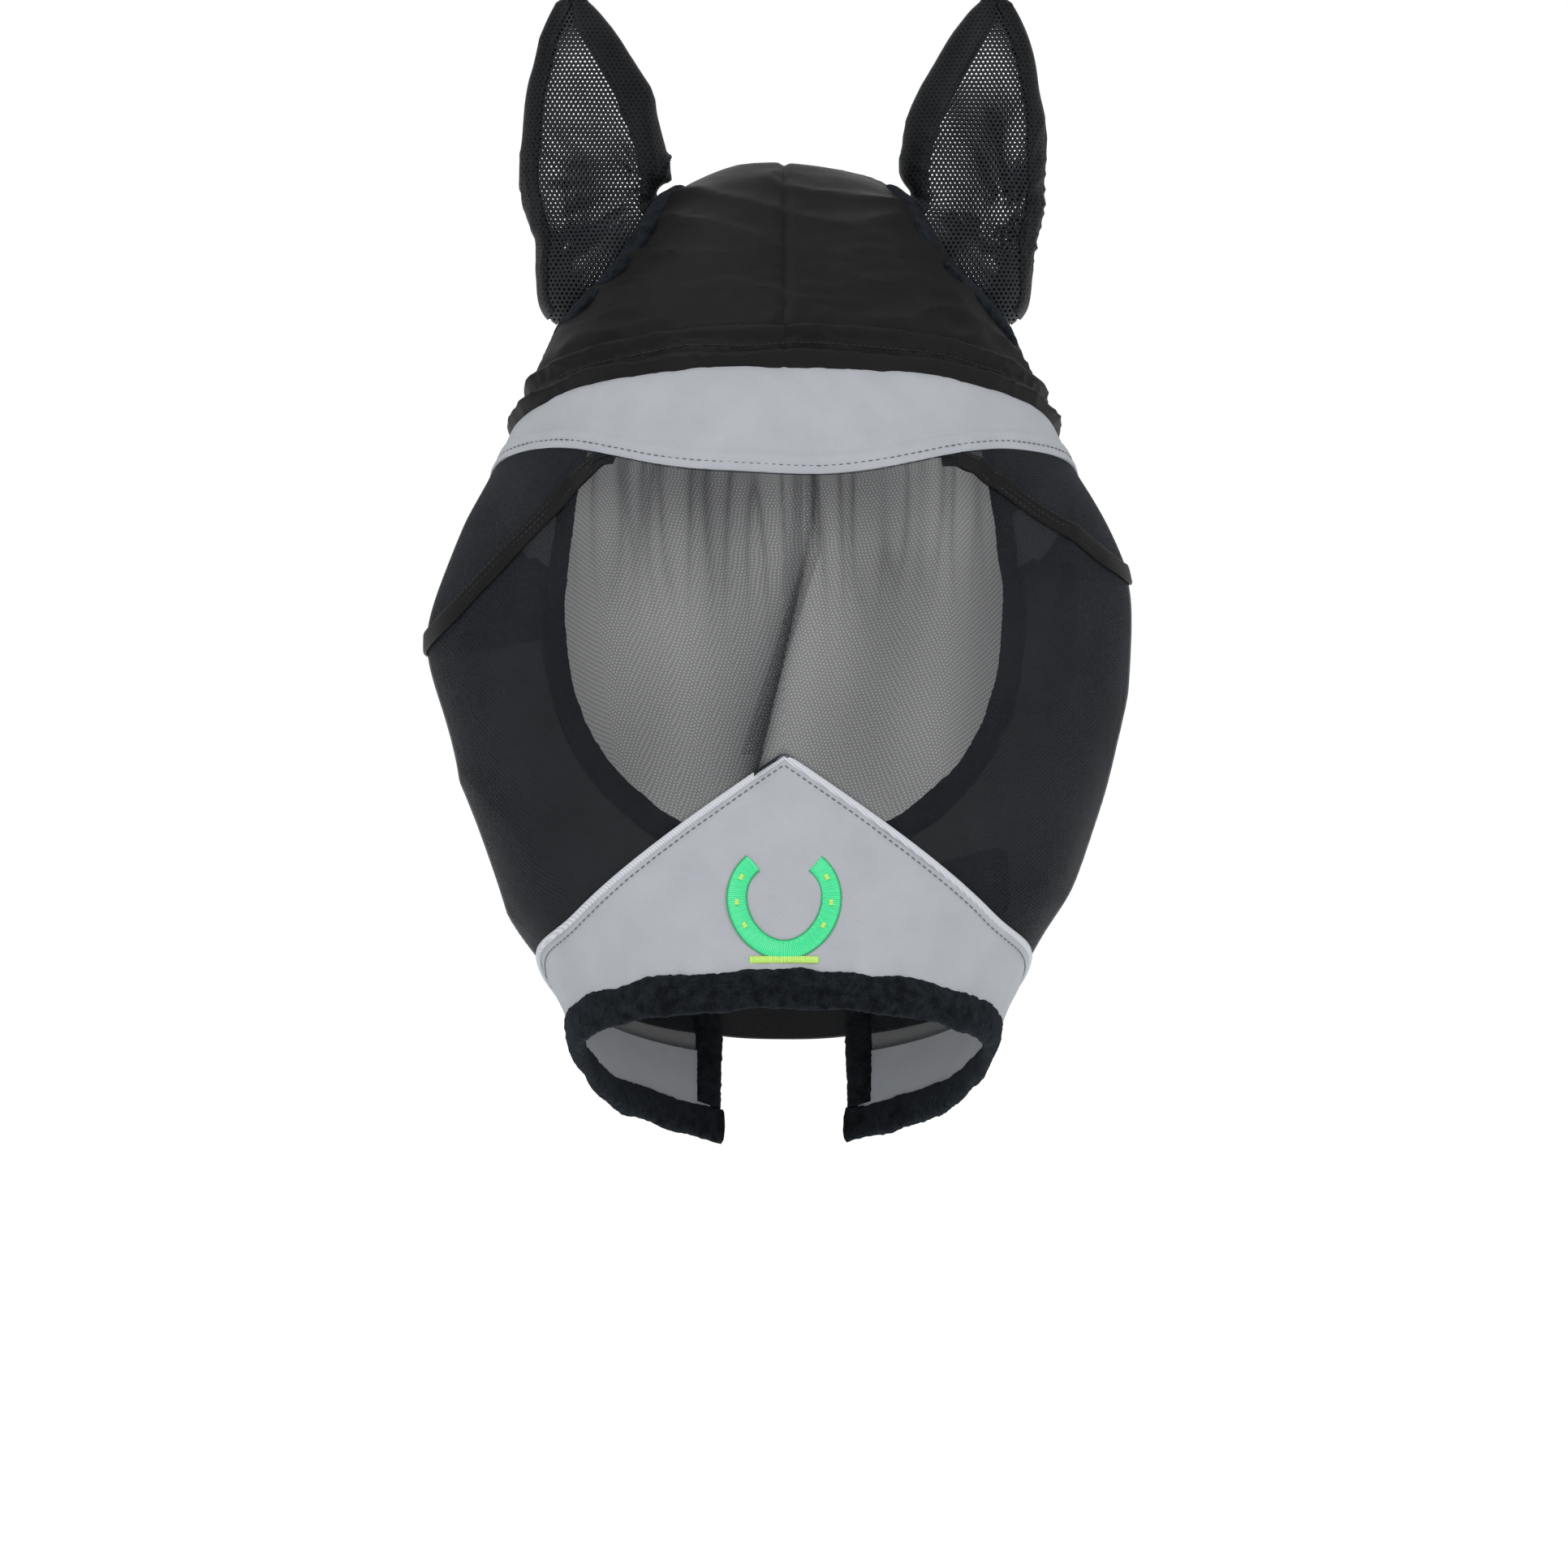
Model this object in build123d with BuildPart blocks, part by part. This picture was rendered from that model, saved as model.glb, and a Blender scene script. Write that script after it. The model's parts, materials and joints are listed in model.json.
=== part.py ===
"""Fly mask with ears for a horse, as it sits on the head.

The mask is a hood of sewn panels. It is laid out in the head's own frame, with the poll on top, the face
towards -Y and the nose edge at the bottom, and that frame leans by HEAD_LEAN so that the nose is forward.
Heights are written as drops: distances below the poll, along the face. Left is the horse's left, +X.
Every panel is a slice of one head form, between two offsets from the form's surface.
"""

import os
from functools import lru_cache
from math import atan2, copysign, cos, radians, sin, sqrt

from build123d import *

os.makedirs("parts", exist_ok=True)

# ---------------------------------------------------------------- driving sizes, in millimetres and degrees
MASK_LENGTH = 374.0  # poll to nose edge, along the face
MASK_WIDTH = 276.0  # across the eyes
MASK_DEPTH = 246.0  # forehead to jaw at the eyes
HEAD_LEAN = 20.0  # how far the face leans forward at the nose
NOSE_WIDTH = 160.0  # across the nose edge

MESH_THICK = 1.4
CLOTH_THICK = 2.0
ROLL_THICK = 4.6
FLEECE_INSIDE = 1.5  # how far a fleece edge reaches inside the panels
FLEECE_OUTSIDE = 4.2  # and outside them
BINDING_OUTSIDE = 3.2
TAPE_THICK = 1.2

BROW_TOP = 109.0  # drop of the brow band's upper edge
BROW_HEIGHT = 48.0  # brow band at the middle of the forehead
BROW_SIDE_HEIGHT = 21.0  # brow band at the sides
ROLL_HEIGHT = 19.0
NOSE_PEAK_HEIGHT = 99.0  # nose panel's point above the nose edge
NOSE_SIDE_HEIGHT = 39.0
NOSE_FLEECE_HEIGHT = 15.0
PIPING_WIDTH = 3.0

DART_TOP_X = 68.0
DART_DROP = 50.0  # the dart's corner below the middle of the brow band's side edge
DART_WIDTH = 9.0
SEAM_TAPE_WIDTH = 9.0

NECK_BINDING_WIDTH = 14.0
JAW_GAP = 50.0  # between the two cheeks, under the jaw
JAW_BINDING_WIDTH = 12.0

EAR_SEAT_X = 74.0  # middle of the ear opening
EAR_SEAT_DROP = 31.0
EAR_SEAT_FORWARD = 15.0
EAR_SEAT_SPLAY = 45.0  # the opening faces this far out from the ear
EAR_FORWARD = 24.0  # how far the ear leans to the front, from the head's axis
EAR_OUTWARD = 8.0  # and outwards
EAR_RADIUS = 33.0  # the ball-shaped foot of the ear, which turns in the opening
EAR_RUNNING_GAP = 0.7
EAR_RING_WIDTH = 9.5
EAR_RING_OUTSIDE = 2.6
EAR_FOOT_DEPTH = 11.0
EAR_LENGTH = 112.0
EAR_HALF_WIDTH = 36.0
EAR_FLATNESS = 0.68  # half depth over half width
EAR_MESH_THICK = 1.6
EAR_BORDER_WIDTH = 12.0

THROAT_STRAP_DROP = 264.0  # middle of each strap
THROAT_STRAP_HEIGHT = 40.0
JAW_STRAP_DROP = 308.0
JAW_STRAP_HEIGHT = 30.0
STRAP_HINGE_X = -41.0  # where a strap leaves its sewn tail
STRAP_REACH_X = 92.0  # its free end
STRAP_TAIL = 30.0
STRAP_HINGE_GAP = 0.6
STRAP_THICK = 2.0
HOOK_THICK = 1.2
LOOP_THICK = 1.8
CLOSURE_GAP = 0.3  # between hook tape and loop pad
HOOK_LENGTH = 42.0
LOOP_MARGIN = 5.0  # the loop pad is this much longer and taller than the hook tape

EMBLEM_WIDTH = 44.0
EMBLEM_DROP = 328.0
EMBLEM_STROKE = 8.0
EMBLEM_THICK = 0.8

# ---------------------------------------------------------------- the head form
HEAD = Plane(
    origin=(0, 0, 0), x_dir=(1, 0, 0), z_dir=(0, sin(radians(HEAD_LEAN)), cos(radians(HEAD_LEAN)))
)
FRONT_VIEW = Plane(origin=HEAD.origin, x_dir=HEAD.x_dir, z_dir=-HEAD.y_dir)
SIDE_VIEW = Plane(origin=HEAD.origin, x_dir=HEAD.y_dir, z_dir=HEAD.x_dir)

REACH = 1.2 * max(MASK_WIDTH, MASK_DEPTH)  # past the mask on every side
FOREHEAD_SQUARENESS = 2.25
SECTION_POINTS = 12

# share of MASK_LENGTH below the poll, half width, reach to the front and to the back in shares of MASK_WIDTH
# and MASK_DEPTH. The last two stations take their width from NOSE_WIDTH.
NOSE_SHARE = NOSE_WIDTH / MASK_WIDTH
STATIONS = (
    (0.000, 0.120, 0.15, 0.17),
    (0.012, 0.168, 0.20, 0.23),
    (0.040, 0.222, 0.24, 0.30),
    (0.085, 0.275, 0.27, 0.38),
    (0.140, 0.315, 0.29, 0.45),
    (0.205, 0.354, 0.31, 0.52),
    (0.295, 0.406, 0.33, 0.59),
    (0.400, 0.466, 0.335, 0.64),
    (0.520, 0.500, 0.325, 0.67),
    (0.680, 0.465, 0.300, 0.64),
    (0.800, 0.410, 0.275, 0.59),
    (0.900, 0.345, 0.255, 0.55),
    (1.000, 0.500 * NOSE_SHARE, 0.245, 0.52),
    (1.060, 0.480 * NOSE_SHARE, 0.240, 0.51),
)


def section_point(station, angle, offset=0.0):
    """A point of a station's outline in the head frame. Angle 0 is the front and 90 degrees the left."""
    _, half_width, front, back = station
    s, c = sin(radians(angle)), cos(radians(angle))
    power = 2 / FOREHEAD_SQUARENESS if c > 0 else 1.0
    reach = (front if c > 0 else back) * MASK_DEPTH + offset
    x = (half_width * MASK_WIDTH + offset) * copysign(abs(s) ** power, s)
    return x, -reach * copysign(abs(c) ** power, c)


def lean_of(index):
    """How the form's wall leans at a station: 0 where it is upright and 90 degrees where it lies flat."""
    above, below = STATIONS[max(index - 1, 0)], STATIONS[min(index + 1, len(STATIONS) - 1)]
    spread = (below[1] - above[1]) * MASK_WIDTH
    fall = (below[0] - above[0]) * MASK_LENGTH
    return atan2(spread, fall)


def closed_curve(points):
    """A smooth closed face through evenly numbered points, so that sections loft without twisting."""
    steps = [i / len(points) for i in range(len(points) + 1)]
    with BuildSketch() as area:
        with BuildLine():
            add(Edge.make_spline([Vector(*p) for p in points], periodic=True, parameters=steps))
        make_face()
    return area.sketch


@lru_cache(maxsize=None)
def head_form(offset):
    """The solid head form, grown by offset."""
    with BuildPart() as form:
        for index, station in enumerate(STATIONS):
            lean = lean_of(index)
            height = -station[0] * MASK_LENGTH + offset * sin(lean)
            out = offset * cos(lean)
            step = 360 / SECTION_POINTS
            outline = [section_point(station, step * i, out) for i in range(SECTION_POINTS)]
            with BuildSketch(HEAD.offset(height)):
                add(closed_curve(outline))
        loft()
    return form.part


# ---------------------------------------------------------------- regions, as prisms seen from the front or side
def prism(view, face):
    """A region drawn in a view, carried through the whole mask."""
    with BuildPart() as region:
        extrude(view * face, amount=REACH, both=True)
    return region.part


def band_below(points):
    """The front-view region below a line of points from -REACH to REACH, down past the nose."""
    with BuildSketch() as area:
        with BuildLine():
            edge = Spline(*points) if len(points) > 2 else Line(*points)
            Polyline(edge @ 1, (REACH, -2 * MASK_LENGTH), (-REACH, -2 * MASK_LENGTH), edge @ 0)
        make_face()
    return prism(FRONT_VIEW, area.sketch)


def level_below(drop):
    return band_below([(-REACH, -drop), (REACH, -drop)])


with BuildPart(HEAD) as back_half:
    Box(2 * REACH, REACH, 6 * REACH, align=(Align.CENTER, Align.MIN, Align.CENTER))


def front_and_back(front_region, back_region):
    """One region for the front half of the head joined to another for the back half."""
    with BuildPart() as region:
        add(front_region)
        add(back_half.part, mode=Mode.SUBTRACT)
    with BuildPart() as behind:
        add(back_region)
        add(back_half.part, mode=Mode.INTERSECT)
    with BuildPart() as both:
        add(region.part)
        add(behind.part)
    return both.part


def mirrored(points):
    """Points from the middle out to the left, and their mirror images, in order along X."""
    return [(-x, y) for x, y in reversed(points) if x > 0] + list(points)


brow_bottom_drop = BROW_TOP + BROW_HEIGHT
brow_side_drop = BROW_TOP + BROW_SIDE_HEIGHT
brow_half = MASK_WIDTH / 2
BELOW_BROW_TOP = level_below(BROW_TOP)
BELOW_ROLL_TOP = level_below(BROW_TOP - ROLL_HEIGHT)
BELOW_BROW = band_below(
    mirrored(
        [
            (0, -brow_bottom_drop),
            (0.33 * brow_half, -brow_bottom_drop + 0.18 * (BROW_HEIGHT - BROW_SIDE_HEIGHT)),
            (0.60 * brow_half, -brow_bottom_drop + 0.65 * (BROW_HEIGHT - BROW_SIDE_HEIGHT)),
            (0.85 * brow_half, -brow_side_drop),
            (REACH, -brow_side_drop),
        ]
    )
)

nose_peak_drop = MASK_LENGTH - NOSE_PEAK_HEIGHT
nose_side_drop = MASK_LENGTH - NOSE_SIDE_HEIGHT
fleece_top_drop = MASK_LENGTH - NOSE_FLEECE_HEIGHT
BELOW_FLEECE_TOP = level_below(fleece_top_drop)
BELOW_NOSE_EDGE = level_below(MASK_LENGTH)


def nose_outline(lift):
    """The nose panel's upper edge, raised by lift: a point in the middle and level sides."""
    slope = NOSE_PEAK_HEIGHT - NOSE_SIDE_HEIGHT
    shoulder = 0.55 * NOSE_WIDTH
    half = [
        (0, -nose_peak_drop + lift),
        (0.5 * shoulder, -nose_peak_drop - 0.50 * slope + lift),
        (shoulder, -nose_side_drop + lift),
        (REACH, -nose_side_drop + lift),
    ]
    with BuildSketch() as area:
        with BuildLine():
            edge = Polyline(*mirrored(half))
            Polyline(edge @ 1, (REACH, -2 * MASK_LENGTH), (-REACH, -2 * MASK_LENGTH), edge @ 0)
        make_face()
        corners = area.vertices().filter_by(lambda v: v.Y > -MASK_LENGTH - 1 and 1 < abs(v.X) < REACH - 1)
        fillet(corners, radius=0.18 * NOSE_WIDTH)
    return front_and_back(prism(FRONT_VIEW, area.sketch), level_below(nose_side_drop - lift))


BELOW_NOSE_TOP = nose_outline(0.0)
BELOW_PIPING = nose_outline(PIPING_WIDTH)


def neck_region(margin):
    """Side-view region in front of the neck opening, moved in by margin: poll to throat."""
    inset = 0.75 * margin
    edge_shares = ((0.10, 0.20), (0.125, 0.0), (0.26, -0.20), (0.45, -0.42), (0.70, -0.64), (1.20, -0.76))
    edge_points = [(y * MASK_DEPTH - inset, z * MASK_LENGTH - inset) for y, z in edge_shares]
    with BuildSketch() as area:
        with BuildLine():
            edge = Spline(*edge_points)
            Polyline(edge @ 1, (REACH, -2 * MASK_LENGTH), (-REACH, -2 * MASK_LENGTH), (-REACH, edge_points[0][1]))
            Line((-REACH, edge_points[0][1]), edge @ 0)
        make_face()
    return prism(SIDE_VIEW, area.sketch)


INSIDE_NECK = neck_region(0.0)
INSIDE_BINDING = neck_region(NECK_BINDING_WIDTH)


def back_slab(low_x, high_x, top_drop=-MASK_LENGTH):
    """The region between two distances from the middle, at the back only: the jaw side."""
    with BuildSketch() as area:
        with BuildLine():
            Polyline((low_x, 0), (high_x, 0), (high_x, REACH), (low_x, REACH), close=True)
        make_face()
    with BuildPart() as region:
        extrude(HEAD.offset(-top_drop) * area.sketch, amount=-3 * MASK_LENGTH)
    return region.part


JAW_SLIT = back_slab(-JAW_GAP / 2, JAW_GAP / 2, MASK_LENGTH / 2)
jaw_binding_x = JAW_GAP / 2 + JAW_BINDING_WIDTH
JAW_EDGES = back_slab(-jaw_binding_x, jaw_binding_x, MASK_LENGTH / 2)


def side_half(side):
    """Everything on one side: 1 is the horse's left, -1 its right."""
    with BuildPart(HEAD) as region:
        Box(REACH, 4 * REACH, 6 * REACH, align=(Align.MIN if side > 0 else Align.MAX, Align.CENTER, Align.CENTER))
    return region.part


HALVES = {"left": side_half(1), "right": side_half(-1)}
SIDES = {"left": 1, "right": -1}


@lru_cache(maxsize=None)
def skin(inner, outer):
    """The layer between two offsets from the head form, ending at the neck opening and the nose edge."""
    with BuildPart() as layer:
        add(head_form(outer))
        add(head_form(inner), mode=Mode.SUBTRACT)
        add(INSIDE_NECK, mode=Mode.INTERSECT)
        add(BELOW_NOSE_EDGE, mode=Mode.SUBTRACT)
        add(JAW_SLIT, mode=Mode.SUBTRACT)
    return layer.part


def finish(name, piece):
    piece.label = name
    export_step(piece, f"parts/{name}.step")


def panel(name, layer, within=(), outside=()):
    """One sewn panel: a layer kept within some regions and cut by others."""
    with BuildPart() as cut:
        add(layer)
        for region in within:
            add(region, mode=Mode.INTERSECT)
        for region in outside:
            add(region, mode=Mode.SUBTRACT)
    finish(name, cut.part)
    return cut.part


# ---------------------------------------------------------------- ear seats
def ear_frame(side):
    """The ear's own plane, seen from the front: x leads outwards, y up the ear, from the opening's middle."""
    lean = radians(EAR_FORWARD)
    middle = (side * EAR_SEAT_X, -EAR_SEAT_FORWARD, -EAR_SEAT_DROP)
    outwards = HEAD.x_dir * side
    upwards = HEAD.z_dir * cos(lean) - HEAD.y_dir * sin(lean)
    return Plane(origin=HEAD.from_local_coords(middle), x_dir=outwards, z_dir=outwards.cross(upwards))


def across_ear(side, middle, tilt):
    """A plane across the ear through a point of its own plane. Tilt turns its outer end down."""
    frame = ear_frame(side)
    across = frame.x_dir * cos(radians(tilt)) - frame.y_dir * sin(radians(tilt))
    return Plane(origin=frame.from_local_coords(middle), x_dir=across, z_dir=frame.z_dir.cross(across))


def ear_opening(side):
    return across_ear(side, (0, 0), EAR_SEAT_SPLAY)


def opening_bore(side, radius):
    """A cylinder through an ear's opening. It stops inside the head, short of the other wall."""
    with BuildPart() as bore:
        with BuildSketch(ear_opening(side).offset(-0.8 * EAR_RADIUS)):
            Circle(radius)
        extrude(amount=0.8 * EAR_RADIUS + REACH)
    return bore.part


ear_bore = EAR_RADIUS + EAR_RUNNING_GAP
ear_ring_outer = ear_bore + EAR_RING_WIDTH
EAR_HOLES = [opening_bore(side, ear_ring_outer) for side in SIDES.values()]

# ---------------------------------------------------------------- crown
crown_layer = skin(0, CLOTH_THICK)
for side_name, half in HALVES.items():
    panel(f"crown_{side_name}", crown_layer, [half, INSIDE_BINDING], [BELOW_ROLL_TOP, *EAR_HOLES])
    panel(
        f"crown_roll_{side_name}",
        skin(0, ROLL_THICK),
        [half, INSIDE_BINDING, BELOW_ROLL_TOP],
        [BELOW_BROW_TOP, *EAR_HOLES],
    )

for side_name, side in SIDES.items():
    panel(
        f"ear_ring_{side_name}",
        skin(-FLEECE_INSIDE, EAR_RING_OUTSIDE),
        [opening_bore(side, ear_ring_outer)],
        [opening_bore(side, ear_bore)],
    )

with BuildPart() as crown_strip:
    with BuildSketch(HEAD):
        Rectangle(SEAM_TAPE_WIDTH, 2 * REACH)
    extrude(amount=2 * MASK_LENGTH, both=True)
CENTRE_STRIP = crown_strip.part

panel("crown_seam_tape", skin(-TAPE_THICK, 0), [CENTRE_STRIP, INSIDE_BINDING], [BELOW_ROLL_TOP])

# ---------------------------------------------------------------- brow band
panel("brow_band", skin(0, CLOTH_THICK), [BELOW_BROW_TOP, INSIDE_BINDING], [BELOW_BROW])

# ---------------------------------------------------------------- mesh: a temple panel above each dart, a face panel below
dart_top_drop = brow_bottom_drop - 0.55 * (BROW_HEIGHT - BROW_SIDE_HEIGHT)
dart_end_drop = dart_top_drop + DART_DROP


def dart_line(side, half_width):
    """The dart's centre line from the brow band to the eye corner, widened to a strip."""
    with BuildSketch() as area:
        with BuildLine():
            Line((side * 0.9 * DART_TOP_X, -dart_top_drop + 8), (side * MASK_WIDTH / 2, -dart_end_drop))
            offset(amount=half_width, side=Side.BOTH)
        make_face()
    return prism(FRONT_VIEW, area.sketch)


def temple_region(side):
    """The region above the dart in front, and above the level of the dart's end behind."""
    with BuildSketch() as area:
        with BuildLine():
            Polyline(
                (side * 0.9 * DART_TOP_X, -dart_top_drop + 8),
                (side * MASK_WIDTH / 2, -dart_end_drop),
                (side * REACH, -dart_end_drop),
                (side * REACH, 0),
                (side * 0.9 * DART_TOP_X, 0),
                close=True,
            )
        make_face()
    with BuildSketch() as level_area:
        with Locations((0, -dart_end_drop)):
            Rectangle(2 * REACH, REACH, align=(Align.CENTER, Align.MIN))
    return front_and_back(prism(FRONT_VIEW, area.sketch), prism(FRONT_VIEW, level_area.sketch))


mesh_layer = skin(0, MESH_THICK)
for side_name, side in SIDES.items():
    half, temple = HALVES[side_name], temple_region(side)
    panel(f"temple_mesh_{side_name}", mesh_layer, [half, INSIDE_BINDING, BELOW_BROW, temple])
    panel(
        f"face_mesh_{side_name}",
        mesh_layer,
        [half, INSIDE_BINDING, BELOW_BROW],
        [temple, BELOW_PIPING, JAW_EDGES],
    )
    panel(
        f"dart_seam_{side_name}",
        skin(MESH_THICK, MESH_THICK + TAPE_THICK),
        [dart_line(side, DART_WIDTH / 2), BELOW_BROW],
        [back_slab(-REACH, REACH)],
    )

panel(
    "face_seam_tape",
    skin(-TAPE_THICK, 0),
    [CENTRE_STRIP, BELOW_BROW],
    [BELOW_PIPING, back_slab(-REACH, REACH)],
)

# ---------------------------------------------------------------- nose panel, its piping and the fleece edge
panel("nose_panel", skin(0, CLOTH_THICK), [BELOW_NOSE_TOP], [BELOW_FLEECE_TOP, JAW_EDGES])
panel("nose_piping", skin(0, BINDING_OUTSIDE), [BELOW_PIPING], [BELOW_NOSE_TOP, JAW_EDGES])
panel("nose_fleece", skin(-FLEECE_INSIDE, FLEECE_OUTSIDE), [BELOW_FLEECE_TOP])

# ---------------------------------------------------------------- bindings at the neck opening and under the jaw
for side_name, half in HALVES.items():
    panel(
        f"neck_binding_{side_name}",
        skin(-FLEECE_INSIDE, FLEECE_OUTSIDE),
        [half],
        [INSIDE_BINDING, BELOW_FLEECE_TOP, *EAR_HOLES],
    )
    panel(
        f"jaw_binding_{side_name}",
        skin(-FLEECE_INSIDE, BINDING_OUTSIDE),
        [half, JAW_EDGES, INSIDE_BINDING],
        [BELOW_FLEECE_TOP],
    )

# ---------------------------------------------------------------- closure straps under the jaw
loop_top = MESH_THICK + LOOP_THICK
hook_bottom = max(loop_top, BINDING_OUTSIDE) + CLOSURE_GAP
strap_bottom = hook_bottom + HOOK_THICK
strap_top = strap_bottom + STRAP_THICK


def back_patch(low_x, high_x, drop, height, corner=0.0):
    """A rectangle seen from behind, as a region of the jaw side."""
    with BuildSketch() as area:
        with Locations(((low_x + high_x) / 2, -drop)):
            if corner:
                RectangleRounded(high_x - low_x, height, corner)
            else:
                Rectangle(high_x - low_x, height)
    with BuildPart() as region:
        extrude(FRONT_VIEW * area.sketch, amount=-REACH)
    return region.part


def closure(name, drop, height):
    """A strap sewn to the right cheek, its hook tape, and the loop pad on the left cheek."""
    tail_x = STRAP_HINGE_X - STRAP_HINGE_GAP
    rounding = 0.2 * height
    loop_region = back_patch(
        STRAP_REACH_X - HOOK_LENGTH - 2 * LOOP_MARGIN, STRAP_REACH_X + LOOP_MARGIN, drop, height, rounding
    )
    hook_region = back_patch(
        STRAP_REACH_X - HOOK_LENGTH - LOOP_MARGIN,
        STRAP_REACH_X - LOOP_MARGIN,
        drop,
        height - 2 * LOOP_MARGIN,
    )
    panel(
        f"{name}_strap_tail",
        skin(MESH_THICK, strap_top),
        [back_patch(tail_x - STRAP_TAIL, tail_x, drop, height)],
    )
    with BuildPart() as strap_area:
        add(back_patch(STRAP_HINGE_X, STRAP_REACH_X - rounding, drop, height))
        add(back_patch(0, STRAP_REACH_X, drop, height, rounding))
    with BuildPart() as strap:
        add(head_form(strap_top))
        add(head_form(strap_bottom), mode=Mode.SUBTRACT)
        add(strap_area.part, mode=Mode.INTERSECT)
    finish(f"{name}_strap", strap.part)
    panel(f"{name}_hook_tape", skin(hook_bottom, strap_bottom), [hook_region])
    panel(f"{name}_loop_pad", skin(MESH_THICK, loop_top), [loop_region])


closure("throat", THROAT_STRAP_DROP, THROAT_STRAP_HEIGHT)
closure("jaw", JAW_STRAP_DROP, JAW_STRAP_HEIGHT)

# ---------------------------------------------------------------- emblem on the nose panel: a plain horseshoe
with BuildSketch() as horseshoe:
    with Locations((0, -EMBLEM_DROP)):
        Ellipse(EMBLEM_WIDTH / 2, 0.55 * EMBLEM_WIDTH)
        Ellipse(EMBLEM_WIDTH / 2 - EMBLEM_STROKE, 0.55 * EMBLEM_WIDTH - EMBLEM_STROKE, mode=Mode.SUBTRACT)
    with Locations((0, -EMBLEM_DROP + 0.5 * EMBLEM_WIDTH)):
        Rectangle(0.42 * EMBLEM_WIDTH, 0.5 * EMBLEM_WIDTH, mode=Mode.SUBTRACT)
panel(
    "emblem",
    skin(CLOTH_THICK, CLOTH_THICK + EMBLEM_THICK),
    [prism(FRONT_VIEW, horseshoe.sketch)],
    [back_slab(-REACH, REACH)],
)


# ---------------------------------------------------------------- ears
EAR_POINTS = 12
EAR_LEVELS = (0.16, 0.30, 0.46, 0.64, 0.80, 0.92, 0.985)  # shares of EAR_LENGTH


def ear_station(level):
    """Where an ear's section is: its middle in the ear's own plane, its tilt and its half width."""
    up = level * EAR_LENGTH
    tilt = EAR_OUTWARD + (EAR_SEAT_SPLAY - EAR_OUTWARD) * (1 - level) ** 2.2
    return (up * sin(radians(EAR_OUTWARD)), up), tilt, EAR_HALF_WIDTH * (1 - level**1.8) ** 0.65 * (1 - 0.18 * (1 - level) ** 4)


def oval(half_width, half_depth):
    angles = [radians(360 * i / EAR_POINTS) for i in range(EAR_POINTS)]
    return closed_curve([(half_width * cos(a), half_depth * sin(a)) for a in angles])


def ear_solid(side, wall):
    """The ear as a solid on its ball-shaped foot, inside its outer surface by the wall."""
    with BuildPart() as ear:
        for height in (-EAR_FOOT_DEPTH, -0.45 * EAR_FOOT_DEPTH, 0.4 * EAR_FOOT_DEPTH):
            radius = sqrt(EAR_RADIUS**2 - height**2) - wall
            with BuildSketch(ear_opening(side).offset(height)):
                add(oval(radius, radius))
        for level in EAR_LEVELS:
            (out, up), tilt, half_width = ear_station(level)
            half_depth = EAR_FLATNESS * half_width * (1 + 0.25 * (1 - level) ** 4)
            inset = min((1 + 1.5 * level**2) * wall, 0.55 * half_depth)
            with BuildSketch(across_ear(side, (out, up - 1.2 * wall * level**2), tilt)):
                add(oval(half_width - inset, half_depth - inset))
        loft()
    return ear.part


def ear_window(side):
    """The region of an ear's mesh, inside the border, seen from the front."""
    edges = {1: [], -1: []}
    for level in (-0.5, *EAR_LEVELS[:5]):
        (out, up), tilt, half_width = ear_station(max(level, 0.0))
        half_width -= EAR_BORDER_WIDTH
        for edge_side, points in edges.items():
            x = out + edge_side * half_width * cos(radians(tilt))
            y = up - edge_side * half_width * sin(radians(tilt))
            below = min(level, 0.0) * EAR_LENGTH
            points.append((x + below * sin(radians(tilt)), y + below * cos(radians(tilt))))
    with BuildSketch() as area:
        with BuildLine():
            outer = Spline(*edges[1])
            inner = Spline(*edges[-1])
            Line(outer @ 0, inner @ 0)
            Line(outer @ 1, inner @ 1)
        make_face()
    return prism(ear_frame(side), area.sketch)


for side_name, side in SIDES.items():
    with BuildPart() as ear_shell:
        add(ear_solid(side, 0))
        add(ear_solid(side, EAR_MESH_THICK), mode=Mode.SUBTRACT)
    with BuildPart(ear_frame(side)) as front_half:
        Box(REACH, REACH, REACH, align=(Align.CENTER, Align.CENTER, Align.MIN if side > 0 else Align.MAX))
    window = ear_window(side)
    panel(f"ear_front_{side_name}", ear_shell.part, [front_half.part, window])
    panel(f"ear_back_{side_name}", ear_shell.part, [window], [front_half.part])
    panel(f"ear_border_{side_name}", ear_shell.part, [], [window])
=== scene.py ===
import json

import bmesh
import bpy
import numpy as np
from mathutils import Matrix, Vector, noise
from mathutils.bvhtree import BVHTree


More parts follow.
